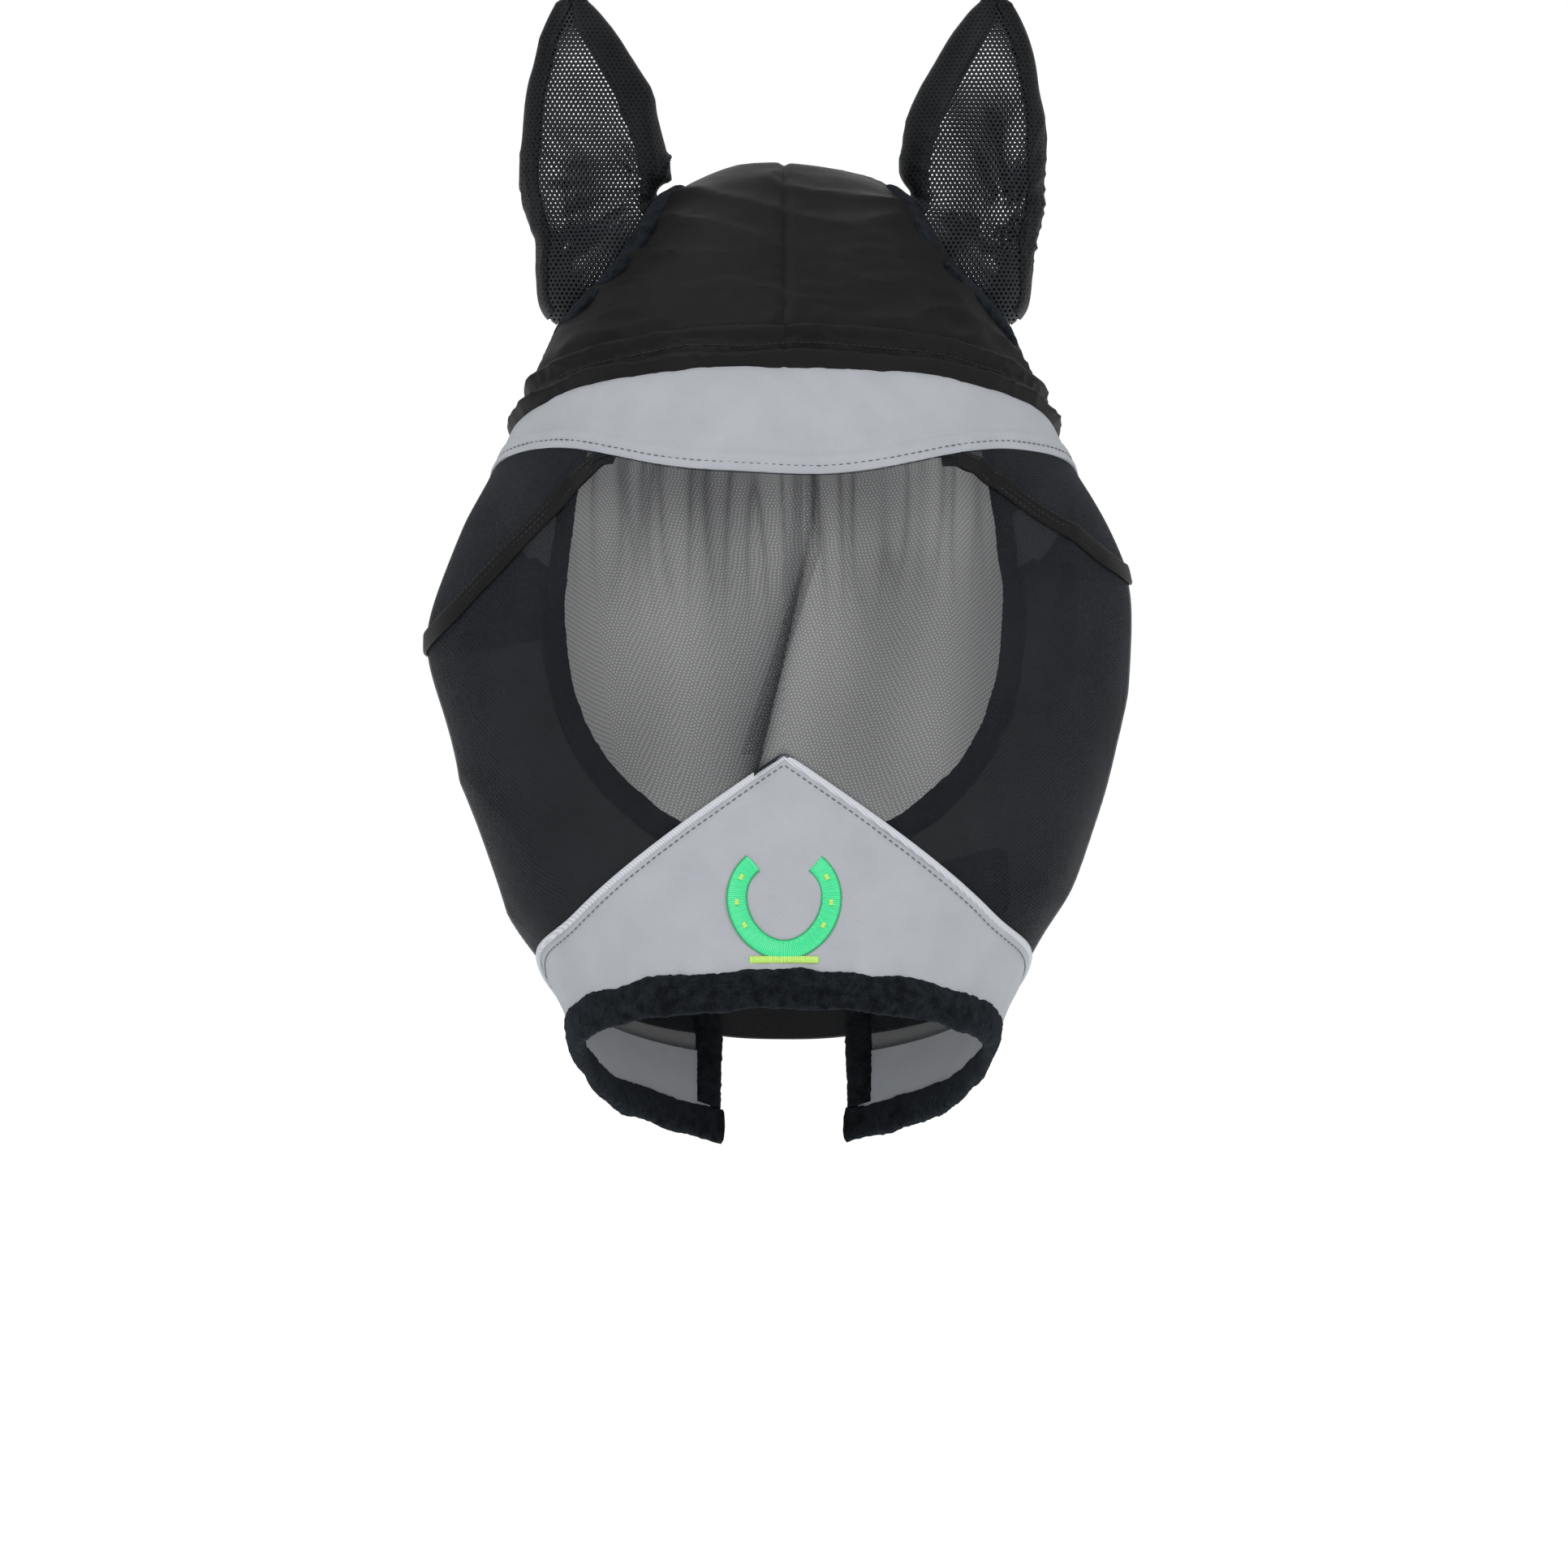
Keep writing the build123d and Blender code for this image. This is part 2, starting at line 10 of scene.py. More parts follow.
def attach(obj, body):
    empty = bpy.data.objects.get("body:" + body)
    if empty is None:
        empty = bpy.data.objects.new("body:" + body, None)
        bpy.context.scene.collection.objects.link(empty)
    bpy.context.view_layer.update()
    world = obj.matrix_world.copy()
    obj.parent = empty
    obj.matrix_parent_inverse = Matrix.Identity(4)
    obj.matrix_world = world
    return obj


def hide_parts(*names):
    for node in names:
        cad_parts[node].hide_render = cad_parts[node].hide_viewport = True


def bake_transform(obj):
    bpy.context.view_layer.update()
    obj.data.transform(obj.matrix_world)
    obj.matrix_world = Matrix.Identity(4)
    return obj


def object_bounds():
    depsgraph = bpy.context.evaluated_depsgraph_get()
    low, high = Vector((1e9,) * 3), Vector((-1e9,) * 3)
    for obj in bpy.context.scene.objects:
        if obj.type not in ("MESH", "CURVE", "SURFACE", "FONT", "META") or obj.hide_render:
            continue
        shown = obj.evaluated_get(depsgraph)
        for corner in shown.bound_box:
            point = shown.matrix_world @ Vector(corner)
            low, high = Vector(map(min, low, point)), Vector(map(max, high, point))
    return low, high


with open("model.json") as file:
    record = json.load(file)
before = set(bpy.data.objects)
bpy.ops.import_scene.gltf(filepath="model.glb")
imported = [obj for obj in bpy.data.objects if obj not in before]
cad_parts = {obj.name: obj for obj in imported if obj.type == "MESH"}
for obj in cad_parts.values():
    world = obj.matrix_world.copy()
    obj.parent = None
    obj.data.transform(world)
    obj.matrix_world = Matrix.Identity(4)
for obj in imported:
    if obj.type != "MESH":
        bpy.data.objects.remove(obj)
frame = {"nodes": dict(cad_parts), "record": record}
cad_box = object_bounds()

MM = 0.001

# ---------------------------------------------------------------- crown
# The cap over the poll is two halves of black nylon-elastane interlock, sewn together down the middle and
# pulled over the poll, so it creases around the ears. Its front edge is turned over a soft cord of wadding,
# which stands up as two puffed rolls above the brow band, with a row of top-stitching behind them.
nose_mount = next(m for m in frame["record"]["mounts"] if m["name"] == "nose_opening")
UP = -np.array(nose_mount["axis"])  # up the face, from the nose to the poll
BACK = np.array((0.0, UP[2], -UP[1]))  # from the face to the jaw
HEAD = np.array(((1.0, 0.0, 0.0), BACK, UP))


def to_world(points):
    return np.asarray(points) @ HEAD


def to_head(points):
    return np.asarray(points) @ HEAD.T


def node_points(node):
    """The corners of a CAD node's mesh, in the head's own frame."""
    mesh = frame["nodes"][node].data
    found = np.empty(len(mesh.vertices) * 3, np.float32)
    mesh.vertices.foreach_get("co", found)
    return to_head(found.reshape(-1, 3))


def node_tree(names):
    """A search tree of several CAD nodes, and which node each of its faces belongs to."""
    places, faces, owners = [], [], []
    for name in names:
        mesh = frame["nodes"][name].data
        start = len(places)
        places += [v.co[:] for v in mesh.vertices]
        faces += [[start + i for i in p.vertices] for p in mesh.polygons]
        owners += [name] * len(mesh.polygons)
    return BVHTree.FromPolygons(places, faces), owners


SIDES = {"left": 1, "right": -1}
CLOTH = ["brow_band", "nose_panel", "nose_piping"] + [
    f"{part}_{side}" for part in ("crown", "crown_roll", "temple_mesh", "face_mesh") for side in SIDES
]
FLEECE = ["nose_fleece"] + [
    f"{part}_{side}" for part in ("ear_ring", "neck_binding", "jaw_binding") for side in SIDES
]
FLEECE_SINK = 1.5 * MM  # how far a fleece edge reaches inside the cloth
hood_tree, hood_owners = node_tree(CLOTH + FLEECE)

# Places on the head are an angle round it, 0 at the face and 90 degrees on the horse's left, and a row down it.
# Rows up to 90 fan out over the poll in degrees, and from there on a row is the drop below the poll in mm.
FAN_ROW = 90.0
STEP = 1.5
ANGLES = np.arange(-180, 180, STEP)
ROWS = np.arange(0, 373, STEP)


def rays(angle, row):
    """Starts and directions of rays out of the hood at angles round it and rows down it, in degrees and rows."""
    angle, row = np.radians(angle), np.asarray(row, float)
    polar = np.radians(np.minimum(row, FAN_ROW))
    start = np.stack([0 * polar, 0 * polar, -np.maximum(row, FAN_ROW) * MM], -1)
    course = np.stack([np.sin(polar) * np.sin(angle), -np.sin(polar) * np.cos(angle), np.cos(polar)], -1)
    return to_world(start), to_world(course)


def cast(angle, row):
    """How far out the hood's inner face is, and the node that is met there."""
    start, course = rays(angle, row)
    place, _, face, reach = hood_tree.ray_cast(Vector(start), Vector(course))
    if place is None:
        return np.nan, None
    owner = hood_owners[face]
    return reach + (FLEECE_SINK if owner in FLEECE else 0), owner


def filled(grid):
    """A grid with its gaps closed, as a film would stretch over them, and its facets smoothed out."""
    grid, gaps = grid.copy(), np.isnan(grid)
    for column in grid.T:
        bad = np.isnan(column)
        if bad.any() and not bad.all():
            known = np.flatnonzero(~bad)
            column[bad] = np.interp(np.flatnonzero(bad), known, column[known], period=len(column))
    for again in range(500):
        beside = (np.roll(grid, 1, 0) + np.roll(grid, -1, 0)) / 2
        above = np.concatenate([grid[:, :1], grid[:, :-1]], 1)
        below = np.concatenate([grid[:, 1:], grid[:, -1:]], 1)
        grid[gaps] = ((beside + (above + below) / 2) / 2)[gaps]
    for again in range(3):
        beside = (np.roll(grid, 1, 0) + np.roll(grid, -1, 0)) / 2
        above = np.concatenate([grid[:, :1], grid[:, :-1]], 1)
        below = np.concatenate([grid[:, 1:], grid[:, -1:]], 1)
        grid = 0.5 * grid + 0.25 * beside + 0.125 * (above + below)
    return grid


reaches = filled(np.array([[cast(a, r)[0] for r in ROWS] for a in ANGLES]))
reaches[:, 0] = reaches[:, 0].mean()
around, down = np.meshgrid(ANGLES, ROWS, indexing="ij")
starts, courses = rays(around, down)
form = starts + courses * reaches[..., None]
round_it = np.roll(form, -1, 0) - np.roll(form, 1, 0)
facing = np.cross(np.gradient(form, axis=1), round_it)
facing[:, :2] = facing[:, 2:4].mean((0, 1))
facing /= np.linalg.norm(facing, axis=-1, keepdims=True)


def on_head(angle, row, lift=0.0):
    """Points of the head form at angles and rows, raised by lift, and the directions out of it there."""
    angle, row, lift = np.broadcast_arrays(*(np.asarray(v, float) for v in (angle, row, lift)))
    column, line = (angle - ANGLES[0]) / STEP, np.clip(row / STEP, 0, len(ROWS) - 1.001)
    i, j = np.floor(column).astype(int), np.floor(line).astype(int)
    u, v = (column - i)[..., None], (line - j)[..., None]
    i, after = i % len(ANGLES), (i + 1) % len(ANGLES)

    def between(grid):
        return (grid[i, j] * (1 - u) + grid[after, j] * u) * (1 - v) + (
            grid[i, j + 1] * (1 - u) + grid[after, j + 1] * u
        ) * v

    out = between(facing)
    out /= np.linalg.norm(out, axis=-1, keepdims=True)
    start, course = rays(angle, row)
    return start + course * between(reaches[..., None]) + out * lift[..., None], out


def waves(places, size, seed=0.0, stretch=(1, 1, 1)):
    """Soft random waves from -1 to 1, about size metres apart, at points of any grid."""
    places = np.asarray(places)
    flat = (places * np.array(stretch) / size + seed).reshape(-1, 3)
    return np.array([noise.noise(Vector(p)) for p in flat]).reshape(places.shape[:-1]) * 1.6


def step_between(value, low, high):
    """0 below low, 1 above high and a smooth rise between them."""
    t = np.clip((np.asarray(value, float) - low) / (high - low), 0, 1)
    return t * t * (3 - 2 * t)


def bump(value, middle, width):
    """1 at the middle, falling off to 0 over about the width on each side."""
    return np.exp(-(((np.asarray(value, float) - middle) / width) ** 2))


def lengths(grid, axis):
    """Distances along a grid of points from its first row or column, in metres."""
    steps = np.linalg.norm(np.diff(grid, axis=axis), axis=-1)
    return np.concatenate([np.zeros_like(np.take(steps, [0], axis)), np.cumsum(steps, axis)], axis)


def new_piece(name, places, faces, uv=None, values=None):
    """A smooth-shaded mesh object. uv and values hold one entry per point."""
    mesh = bpy.data.meshes.new(name)
    mesh.from_pydata(np.asarray(places).reshape(-1, 3).tolist(), [], faces)
    mesh.validate()
    if uv is not None:
        corners = np.empty(len(mesh.loops), np.int32)
        mesh.loops.foreach_get("vertex_index", corners)
        layer = mesh.uv_layers.new(name="cloth")
        layer.uv.foreach_set("vector", np.asarray(uv, np.float32)[corners].ravel())
    for key, value in (values or {}).items():
        made = mesh.attributes.new(key, "FLOAT", "POINT")
        made.data.foreach_set("value", np.asarray(value, np.float32).ravel())
    mesh.polygons.foreach_set("use_smooth", [True] * len(mesh.polygons))
    mesh.set_sharp_from_angle(angle=np.radians(55))
    piece = bpy.data.objects.new(name, mesh)
    bpy.context.scene.collection.objects.link(piece)
    return piece


def grid_faces(rows, columns, first=0, closed=False, flip=False):
    """Quads between rows and columns of points, closed round the columns where asked."""
    faces = []
    for i in range(rows - 1):
        for j in range(columns if closed else columns - 1):
            k = (j + 1) % columns
            quad = [
                first + n for n in (i * columns + j, (i + 1) * columns + j, (i + 1) * columns + k, i * columns + k)
            ]
            faces.append(quad[::-1] if flip else quad)
    return faces


def sheet(name, outer, inner, values=None, closed=False, uv=None):
    """A thin closed shell between two grids of points: rows down, columns to the horse's left."""
    rows, columns = outer.shape[:2]
    count = rows * columns
    faces = grid_faces(rows, columns, closed=closed) + grid_faces(rows, columns, count, closed, flip=True)
    for edge, turn in ((0, False), (rows - 1, True)):
        for j in range(columns if closed else columns - 1):
            k = (j + 1) % columns
            quad = [edge * columns + j, edge * columns + k, count + edge * columns + k, count + edge * columns + j]
            faces.append(quad[::-1] if turn else quad)
    if not closed:
        for edge, turn in ((0, True), (columns - 1, False)):
            for i in range(rows - 1):
                a, b = i * columns + edge, (i + 1) * columns + edge
                quad = [a, b, count + b, count + a]
                faces.append(quad if turn is False else quad[::-1])
    if uv is None:
        across = lengths(outer, 1)
        across = across - across[:, [columns // 2]] + lengths(outer[[rows // 2]], 1)[:, [columns // 2]]
        uv = np.stack([across, lengths(outer, 0)], -1)
    uv = np.reshape(uv, (-1, 2))
    both = {k: np.concatenate([np.ravel(v), np.ravel(v)]) for k, v in (values or {}).items()}
    return new_piece(
        name, np.concatenate([outer.reshape(-1, 3), inner.reshape(-1, 3)]), faces, np.concatenate([uv, uv]), both
    )


def cut_away(piece, *cutters):
    """Cuts solids out of a piece for good."""
    for cutter in cutters:
        cut = piece.modifiers.new("cut", "BOOLEAN")
        cut.operation, cut.solver, cut.object = "DIFFERENCE", "EXACT", cutter
    seen = piece.evaluated_get(bpy.context.evaluated_depsgraph_get())
    mesh = bpy.data.meshes.new_from_object(seen)
    piece.modifiers.clear()
    old, piece.data = piece.data, mesh
    bpy.data.meshes.remove(old)
    mesh.polygons.foreach_set("use_smooth", [True] * len(mesh.polygons))
    mesh.set_sharp_from_angle(angle=np.radians(55))


def thread_row(name, path, out, pitch=3.0 * MM, length=2.1 * MM, thick=0.5 * MM, sink=0.1 * MM):
    """Stitches along a path of points: short plump threads, dipping into the cloth at both ends."""
    path, out = np.asarray(path), np.asarray(out)
    along = lengths(path[None], 1)[0]
    count = max(int(along[-1] / pitch), 1)
    places, faces = [], []
    shape = ((-0.5, 0.30, -0.5), (-0.30, 0.85, 0.1), (0.0, 1.0, 0.35), (0.30, 0.85, 0.1), (0.5, 0.30, -0.5))
    turns = np.radians(np.arange(0, 360, 60))
    for k in range(count):
        ends = [(k + 0.5) * pitch + s * length for s in (-0.5, 0.5)]
        a, b = (np.array([np.interp(e, along, path[:, c]) for c in range(3)]) for e in ends)
        n = np.array([np.interp((k + 0.5) * pitch, along, out[:, c]) for c in range(3)])
        run = b - a
        n -= run * (n @ run) / max(run @ run, 1e-18)
        n /= np.linalg.norm(n)
        side = np.cross(n, run / np.linalg.norm(run))
        first = len(places)
        for shift, size, rise in shape:
            middle = (a + b) / 2 + run * shift * (
                length / max(np.linalg.norm(run), 1e-9)
            ) + n * (thick * rise * 0.5 - sink)
            for t in turns:
                places.append(middle + thick / 2 * size * (side * np.cos(t) + n * np.sin(t)))
        faces += grid_faces(len(shape), len(turns), first, closed=True)
        faces.append([first + i for i in range(len(turns))])
        faces.append([first + (len(shape) - 1) * len(turns) + i for i in reversed(range(len(turns)))])
    return new_piece(name, places, faces)


def settle(piece, body, material, nodes=()):
    """Puts a finished piece on its body with its material, in place of its CAD nodes."""
    piece.data.materials.clear()
    piece.data.materials.append(material)
    if nodes:
        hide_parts(*nodes)
    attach(piece, body)
    return piece


def linear(code):
    """An sRGB hex colour as linear red, green and blue."""
    parts = [int(code[i : i + 2], 16) / 255 for i in (1, 3, 5)]
    return tuple(c / 12.92 if c <= 0.04045 else ((c + 0.055) / 1.055) ** 2.4 for c in parts) + (1.0,)


def add_node(tree, kind, settings=None, links=None):
    """Adds one shader node with its settings, and links its inputs to other nodes' outputs."""
    made = tree.nodes.new("ShaderNode" + kind)
    for key, value in (settings or {}).items():
        if isinstance(key, str) and hasattr(made, key):
            setattr(made, key, value)
        else:
            made.inputs[key].default_value = value
    for key, source in (links or {}).items():
        tree.links.new(source, made.inputs[key])
    return made


def new_material(name, roughness, specular, sheen=0.0, sheen_tint="#FFFFFF", sheen_roughness=0.5):
    """An empty fabric material and its Principled node, whose colour and bump its own section links."""
    material = bpy.data.materials.new(name)
    material.use_nodes = True
    tree = material.node_tree
    surface = tree.nodes["Principled BSDF"]
    surface.inputs["Roughness"].default_value = roughness
    surface.inputs["Specular IOR Level"].default_value = specular
    surface.inputs["Sheen Weight"].default_value = sheen
    surface.inputs["Sheen Tint"].default_value = linear(sheen_tint)
    surface.inputs["Sheen Roughness"].default_value = sheen_roughness
    return material, tree, surface


def raise_by(tree, surface, height, strength, distance):
    """Relief on a material, from a height and how deep it goes."""
    relief = add_node(tree, "Bump", {"Strength": strength, "Distance": distance}, {"Height": height})
    tree.links.new(relief.outputs[0], surface.inputs["Normal"])


def colour_by(tree, surface, dark, light, share):
    """Colour on a material, from one code to another by a share."""
    shade = add_node(tree, "MixRGB", {"Color1": linear(dark), "Color2": linear(light)}, {0: share})
    tree.links.new(shade.outputs[0], surface.inputs["Base Color"])
    return shade


def object_place(tree):
    return add_node(tree, "TexCoord").outputs["Object"]


def ribs_and_lanes(tree, across, along, flat=None):
    """Two crossed sets of fine ridges on the cloth's own lengths, as heights from 0 to 1: a plain weave."""
    place = add_node(tree, "UVMap", {"uv_map": "cloth"}).outputs[0] if flat is None else flat
    parts = add_node(tree, "SeparateXYZ", links={0: place})
    heights = []
    for output, pitch in ((0, across), (1, along)):
        turn = add_node(tree, "Math", {"operation": "MULTIPLY", 1: 2 * np.pi / pitch}, {0: parts.outputs[output]})
        heights.append(add_node(tree, "Math", {"operation": "SINE"}, {0: turn.outputs[0]}).outputs[0])
    both = add_node(tree, "Math", {"operation": "MULTIPLY"}, {0: heights[0], 1: heights[1]})
    return add_node(tree, "MapRange", {"From Min": -1.0, "From Max": 1.0}, {0: both.outputs[0]}).outputs[0]


# Nylon-elastane interlock, piece-dyed black: fine ribs 0.5 mm apart, drawn at 0.9 mm so that they show, and a
# faint satin gloss along the crests of the creases.
interlock, tree, surface = new_material("nylon_interlock_dyed_black", 0.45, 0.10, 0.012)
weave = ribs_and_lanes(tree, 0.9 * MM, 0.9 * MM)
cloudy = add_node(tree, "TexNoise", {"Scale": 38.0, "Detail": 3.0}, {0: object_place(tree)})
mixed = add_node(tree, "Math", {"operation": "MULTIPLY_ADD", 1: 0.45}, {0: weave, 2: cloudy.outputs[0]})
colour_by(tree, surface, "#060607", "#161617", mixed.outputs[0])
raise_by(tree, surface, weave, 0.35, 0.2 * MM)

# Spun polyester sewing thread: a plain twisted strand, a little glossier than the cloth it lies on.
threads = {}
for thread_name, code in (("black", "#161617"), ("grey", "#5C5F64"), ("dark", "#2B2D31")):
    threads[thread_name], tree, surface = new_material(f"polyester_thread_{thread_name}", 0.45, 0.25)
    twist = add_node(tree, "TexWave", {"Scale": 900.0, "Distortion": 1.0}, {0: object_place(tree)})
    low = tuple(0.6 * c for c in linear(code)[:3]) + (1.0,)
    shade = add_node(tree, "MixRGB", {"Color1": low, "Color2": linear(code)}, {0: twist.outputs[0]})
    tree.links.new(shade.outputs[0], surface.inputs["Base Color"])

roll_heights = node_points("crown_roll_left")[:, 2]
ROLL_TOP, ROLL_BOTTOM = -roll_heights.max() / MM, -roll_heights.min() / MM

# the neck opening's edge, seen from the side: how far out it lies along a line from the poll to the throat
edge_points = np.concatenate([node_points(f"neck_binding_{side}")[:, 1:] for side in SIDES])
edge_along, edge_out = (edge_points[:, 0] - edge_points[:, 1]) / 2**0.5, edge_points.sum(1) / 2**0.5
stations = np.arange(edge_along.min(), edge_along.max(), 5 * MM)
farthest = [
    edge_out[abs(edge_along - s) < 7 * MM].max() if (abs(edge_along - s) < 7 * MM).any() else np.nan for s in stations
]
known = ~np.isnan(farthest)
stations, farthest = stations[known], np.array(farthest)[known]
for again in range(4):
    farthest[1:-1] = (farthest[:-2] + 2 * farthest[1:-1] + farthest[2:]) / 4
BINDING_MIDDLE = 5.4 * MM  # from the opening's edge to the middle of its binding, square to the edge


def past_neck(points, inset=BINDING_MIDDLE):
    """How far points are outside the neck opening's edge, moved in by inset."""
    place = to_head(points)
    along, out = (place[..., 1] - place[..., 2]) / 2**0.5, (place[..., 1] + place[..., 2]) / 2**0.5
    return out - np.interp(along, stations, farthest) + inset


def solid_between(name, outline, low, high, frame_axes=HEAD, origin=(0, 0, 0)):
    """A prism: an outline in the last two axes of a frame, between two places along its first axis."""
    outline = np.asarray(outline)
    places = [np.array((x, *p)) for x in (low, high) for p in outline]
    count = len(outline)
    faces = [[i, (i + 1) % count, count + (i + 1) % count, count + i] for i in range(count)]
    faces += [list(range(count))[::-1], [count + i for i in range(count)]]
    piece = new_piece(name, np.array(places) @ frame_axes + np.array(origin), faces)
    work = bmesh.new()
    work.from_mesh(piece.data)
    bmesh.ops.recalc_face_normals(work, faces=work.faces)
    work.to_mesh(piece.data)
    work.free()
    return piece


neck_line = [
    ((s + o - BINDING_MIDDLE) / 2**0.5, (o - BINDING_MIDDLE - s) / 2**0.5) for s, o in zip(stations, farthest)
]
neck_line = [(neck_line[0][0] - 0.02, neck_line[0][1] + 0.2)] + neck_line
neck_line += [(neck_line[-1][0] + 0.2, neck_line[-1][1] - 0.12), (0.5, neck_line[-1][1] - 0.12), (0.5, 0.3)]
neck_cutter = solid_between("neck_cutter", neck_line, -0.3, 0.3)

# each ear turns in an opening of the crown; the openings' middles come from the frame's joints,
# and their axes lean forwards by EAR_LEAN
EAR_RING_RADIUS = 39.0 * MM  # to the middle of the fleece ring
EAR_LEAN = np.radians(24)  # forwards from the face's line
ear_seats = {}
for side_name, side in SIDES.items():
    record_joint = next(j for j in frame["record"]["behaviour"]["joints"] if j["name"] == f"{side_name}_ear_tilt")
    middle = np.array(record_joint["pos_m"])
    ear_up = UP * np.cos(EAR_LEAN) - BACK * np.sin(EAR_LEAN)
    opening = (np.array((side, 0, 0)) + ear_up) / 2**0.5
    across = (np.array((side, 0, 0)) - ear_up) / 2**0.5
    front = np.cross((1.0, 0, 0), ear_up)
    ear_seats[side_name] = {"middle": middle, "opening": opening, "across": across, "front": front, "up": ear_up}


def ear_cutter(side_name, radius):
    seat = ear_seats[side_name]
    turns = np.radians(np.arange(0, 360, 4))
    ring = [(radius * np.cos(t), radius * np.sin(t)) for t in turns]
    axes = np.array((seat["opening"], seat["across"], np.cross(seat["opening"], seat["across"])))
    return solid_between(f"ear_cutter_{side_name}", ring, -0.03, 0.12, axes, seat["middle"])


ear_cutters = {side_name: ear_cutter(side_name, EAR_RING_RADIUS) for side_name in SIDES}


def crown_lift(place, row, thickness):
    """The crown's creases: long soft folds from the ears to the middle, finer ones above the rolls."""
    local = to_head(place)
    x = local[..., 0]
    long_folds = 1 - abs(waves(local, 30 * MM, 3.1, (0.6, 1.0, 1.9)))
    fine_folds = 1 - abs(waves(local, 11 * MM, 8.4, (0.5, 1.0, 2.6)))
    near_front = step_between(row, 45, 84)
    near_ear = step_between(abs(x), 20 * MM, 60 * MM)
    height = (
        3.0 * MM * long_folds**2 * (0.5 + 0.5 * near_ear) + 0.9 * MM * fine_folds**2 * (0.3 + 0.8 * near_front)
        * step_between(abs(x), 85 * MM, 60 * MM)
    )
    groove = 1.3 * MM * bump(abs(x), 0, 1.6 * MM)
    return thickness + height - groove


crown_pieces = {}
for side_name, side in SIDES.items():
    columns = np.linspace(0.001, 180, 150) * side
    if side < 0:
        columns = columns[::-1]
    rows = np.concatenate([np.linspace(1.0, 12, 9), np.linspace(13.5, ROLL_TOP + 1.5, 62)])
    a, r = np.meshgrid(columns, rows)
    base, _ = on_head(a, r)
    raised = crown_lift(base, r, 1.2 * MM) * (1 - 0.5 * step_between(r, 87, 91))
    outer, inner = on_head(a, r, raised)[0], on_head(a, r, raised - 1.0 * MM)[0]
    crown = sheet(f"crown_{side_name}_half", outer, inner)
    cut_away(crown, neck_cutter, ear_cutters[side_name])
    crown_pieces[side_name] = settle(crown, "hood", interlock, [f"crown_{side_name}"])

# The rolls: the crown's front edge, folded over wadding and stitched down between the two puffs.
for side_name, side in SIDES.items():
    columns = np.linspace(0.0, 136, 190) * side
    if side < 0:
        columns = columns[::-1]
    share = np.linspace(0, 1, 34)
    a, s = np.meshgrid(columns, share)
    ripple = waves(on_head(a, 100.0)[0], 26 * MM, 5.0)
    r = ROLL_TOP - 1.0 + (ROLL_BOTTOM + 1.5 - ROLL_TOP + 1.0) * s + 1.4 * ripple * np.sin(np.pi * s)
    place = on_head(a, r)[0]
    plump = 1 + 0.35 * waves(place, 16 * MM, 1.7)
    puffs = 4.2 * MM * bump(s, 0.18, 0.14) * plump + 4.6 * MM * bump(s, 0.78, 0.14) * plump
    creases = 0.8 * MM * (1 - abs(waves(to_head(place), 8 * MM, 2.0, (0.9, 1.0, 1.0)))) ** 3
    lift = 1.3 * MM + puffs + creases - 1.0 * MM * bump(abs(to_head(place)[..., 0]), 0, 1.5 * MM)
    lift *= 0.4 + 0.6 * np.sqrt(np.clip(np.sin(np.pi * np.clip(s, 0.03, 0.97)), 0, 1))
    roll = sheet(f"crown_roll_{side_name}_half", on_head(a, r, lift)[0], on_head(a, r, 0.2 * MM)[0])
    cut_away(roll, neck_cutter, ear_cutters[side_name])
    settle(roll, "hood", interlock, [f"crown_roll_{side_name}"])

a = np.linspace(-62, 62, 160)
place, out = on_head(a, ROLL_TOP + 9.5 + 1.2 * waves(on_head(a, 100.0)[0], 26 * MM, 5.0), 2.1 * MM)
roll_stitches = thread_row("crown_roll_stitches", place, out, 2.6 * MM, 1.8 * MM, 0.45 * MM)
settle(roll_stitches, "hood", threads["dark"])

# the tape that covers the crown's middle seam on its inside
r = np.linspace(0.0, 90, 80)
front_half = [on_head(0.0, r)[0], on_head(180.0, np.linspace(0, 30, 20))[0]]
line = np.concatenate([front_half[1][::-1], front_half[0][1:]])
line = line[past_neck(line, 10 * MM) < 0]
tape_width = np.linspace(-4.4, 4.4, 7) * MM
down_out = np.cross(np.gradient(line, axis=0), (1.0, 0, 0))
down_out /= np.linalg.norm(down_out, axis=1, keepdims=True)
down_out *= np.sign(down_out @ UP + 1e-9)[:, None] if (down_out @ UP).mean() > 0 else -1
tape_outer = line[:, None] + tape_width[None, :, None] * np.array((1.0, 0, 0)) - down_out[:, None] * 0.15 * MM
tape_inner = tape_outer - down_out[:, None] * 0.9 * MM
crown_tape = sheet("crown_seam_binding", tape_outer, tape_inner)
settle(crown_tape, "hood", interlock, ["crown_seam_tape"])

# ---------------------------------------------------------------- fleece around the ears
# Each ear opening is edged with a strip of black polar fleece, folded over the seam and stitched through, so that
# the ear sits on a soft round rim. The pile is brushed up and hides the stitches.
def round_band(width, low, high, points=22, squareness=2.6):
    """The outline of a padded strip: across its width, and from its underside to its top."""
    outline = []
    for t in np.radians(np.linspace(0, 360, points, endpoint=False)):
        c, s = np.cos(t), np.sin(t)
        across = width / 2 * np.sign(c) * abs(c) ** (2 / squareness)
        outline.append((across, (low + high) / 2 + (high - low) / 2 * np.sign(s) * abs(s) ** (2 / squareness)))
    return np.array(outline)


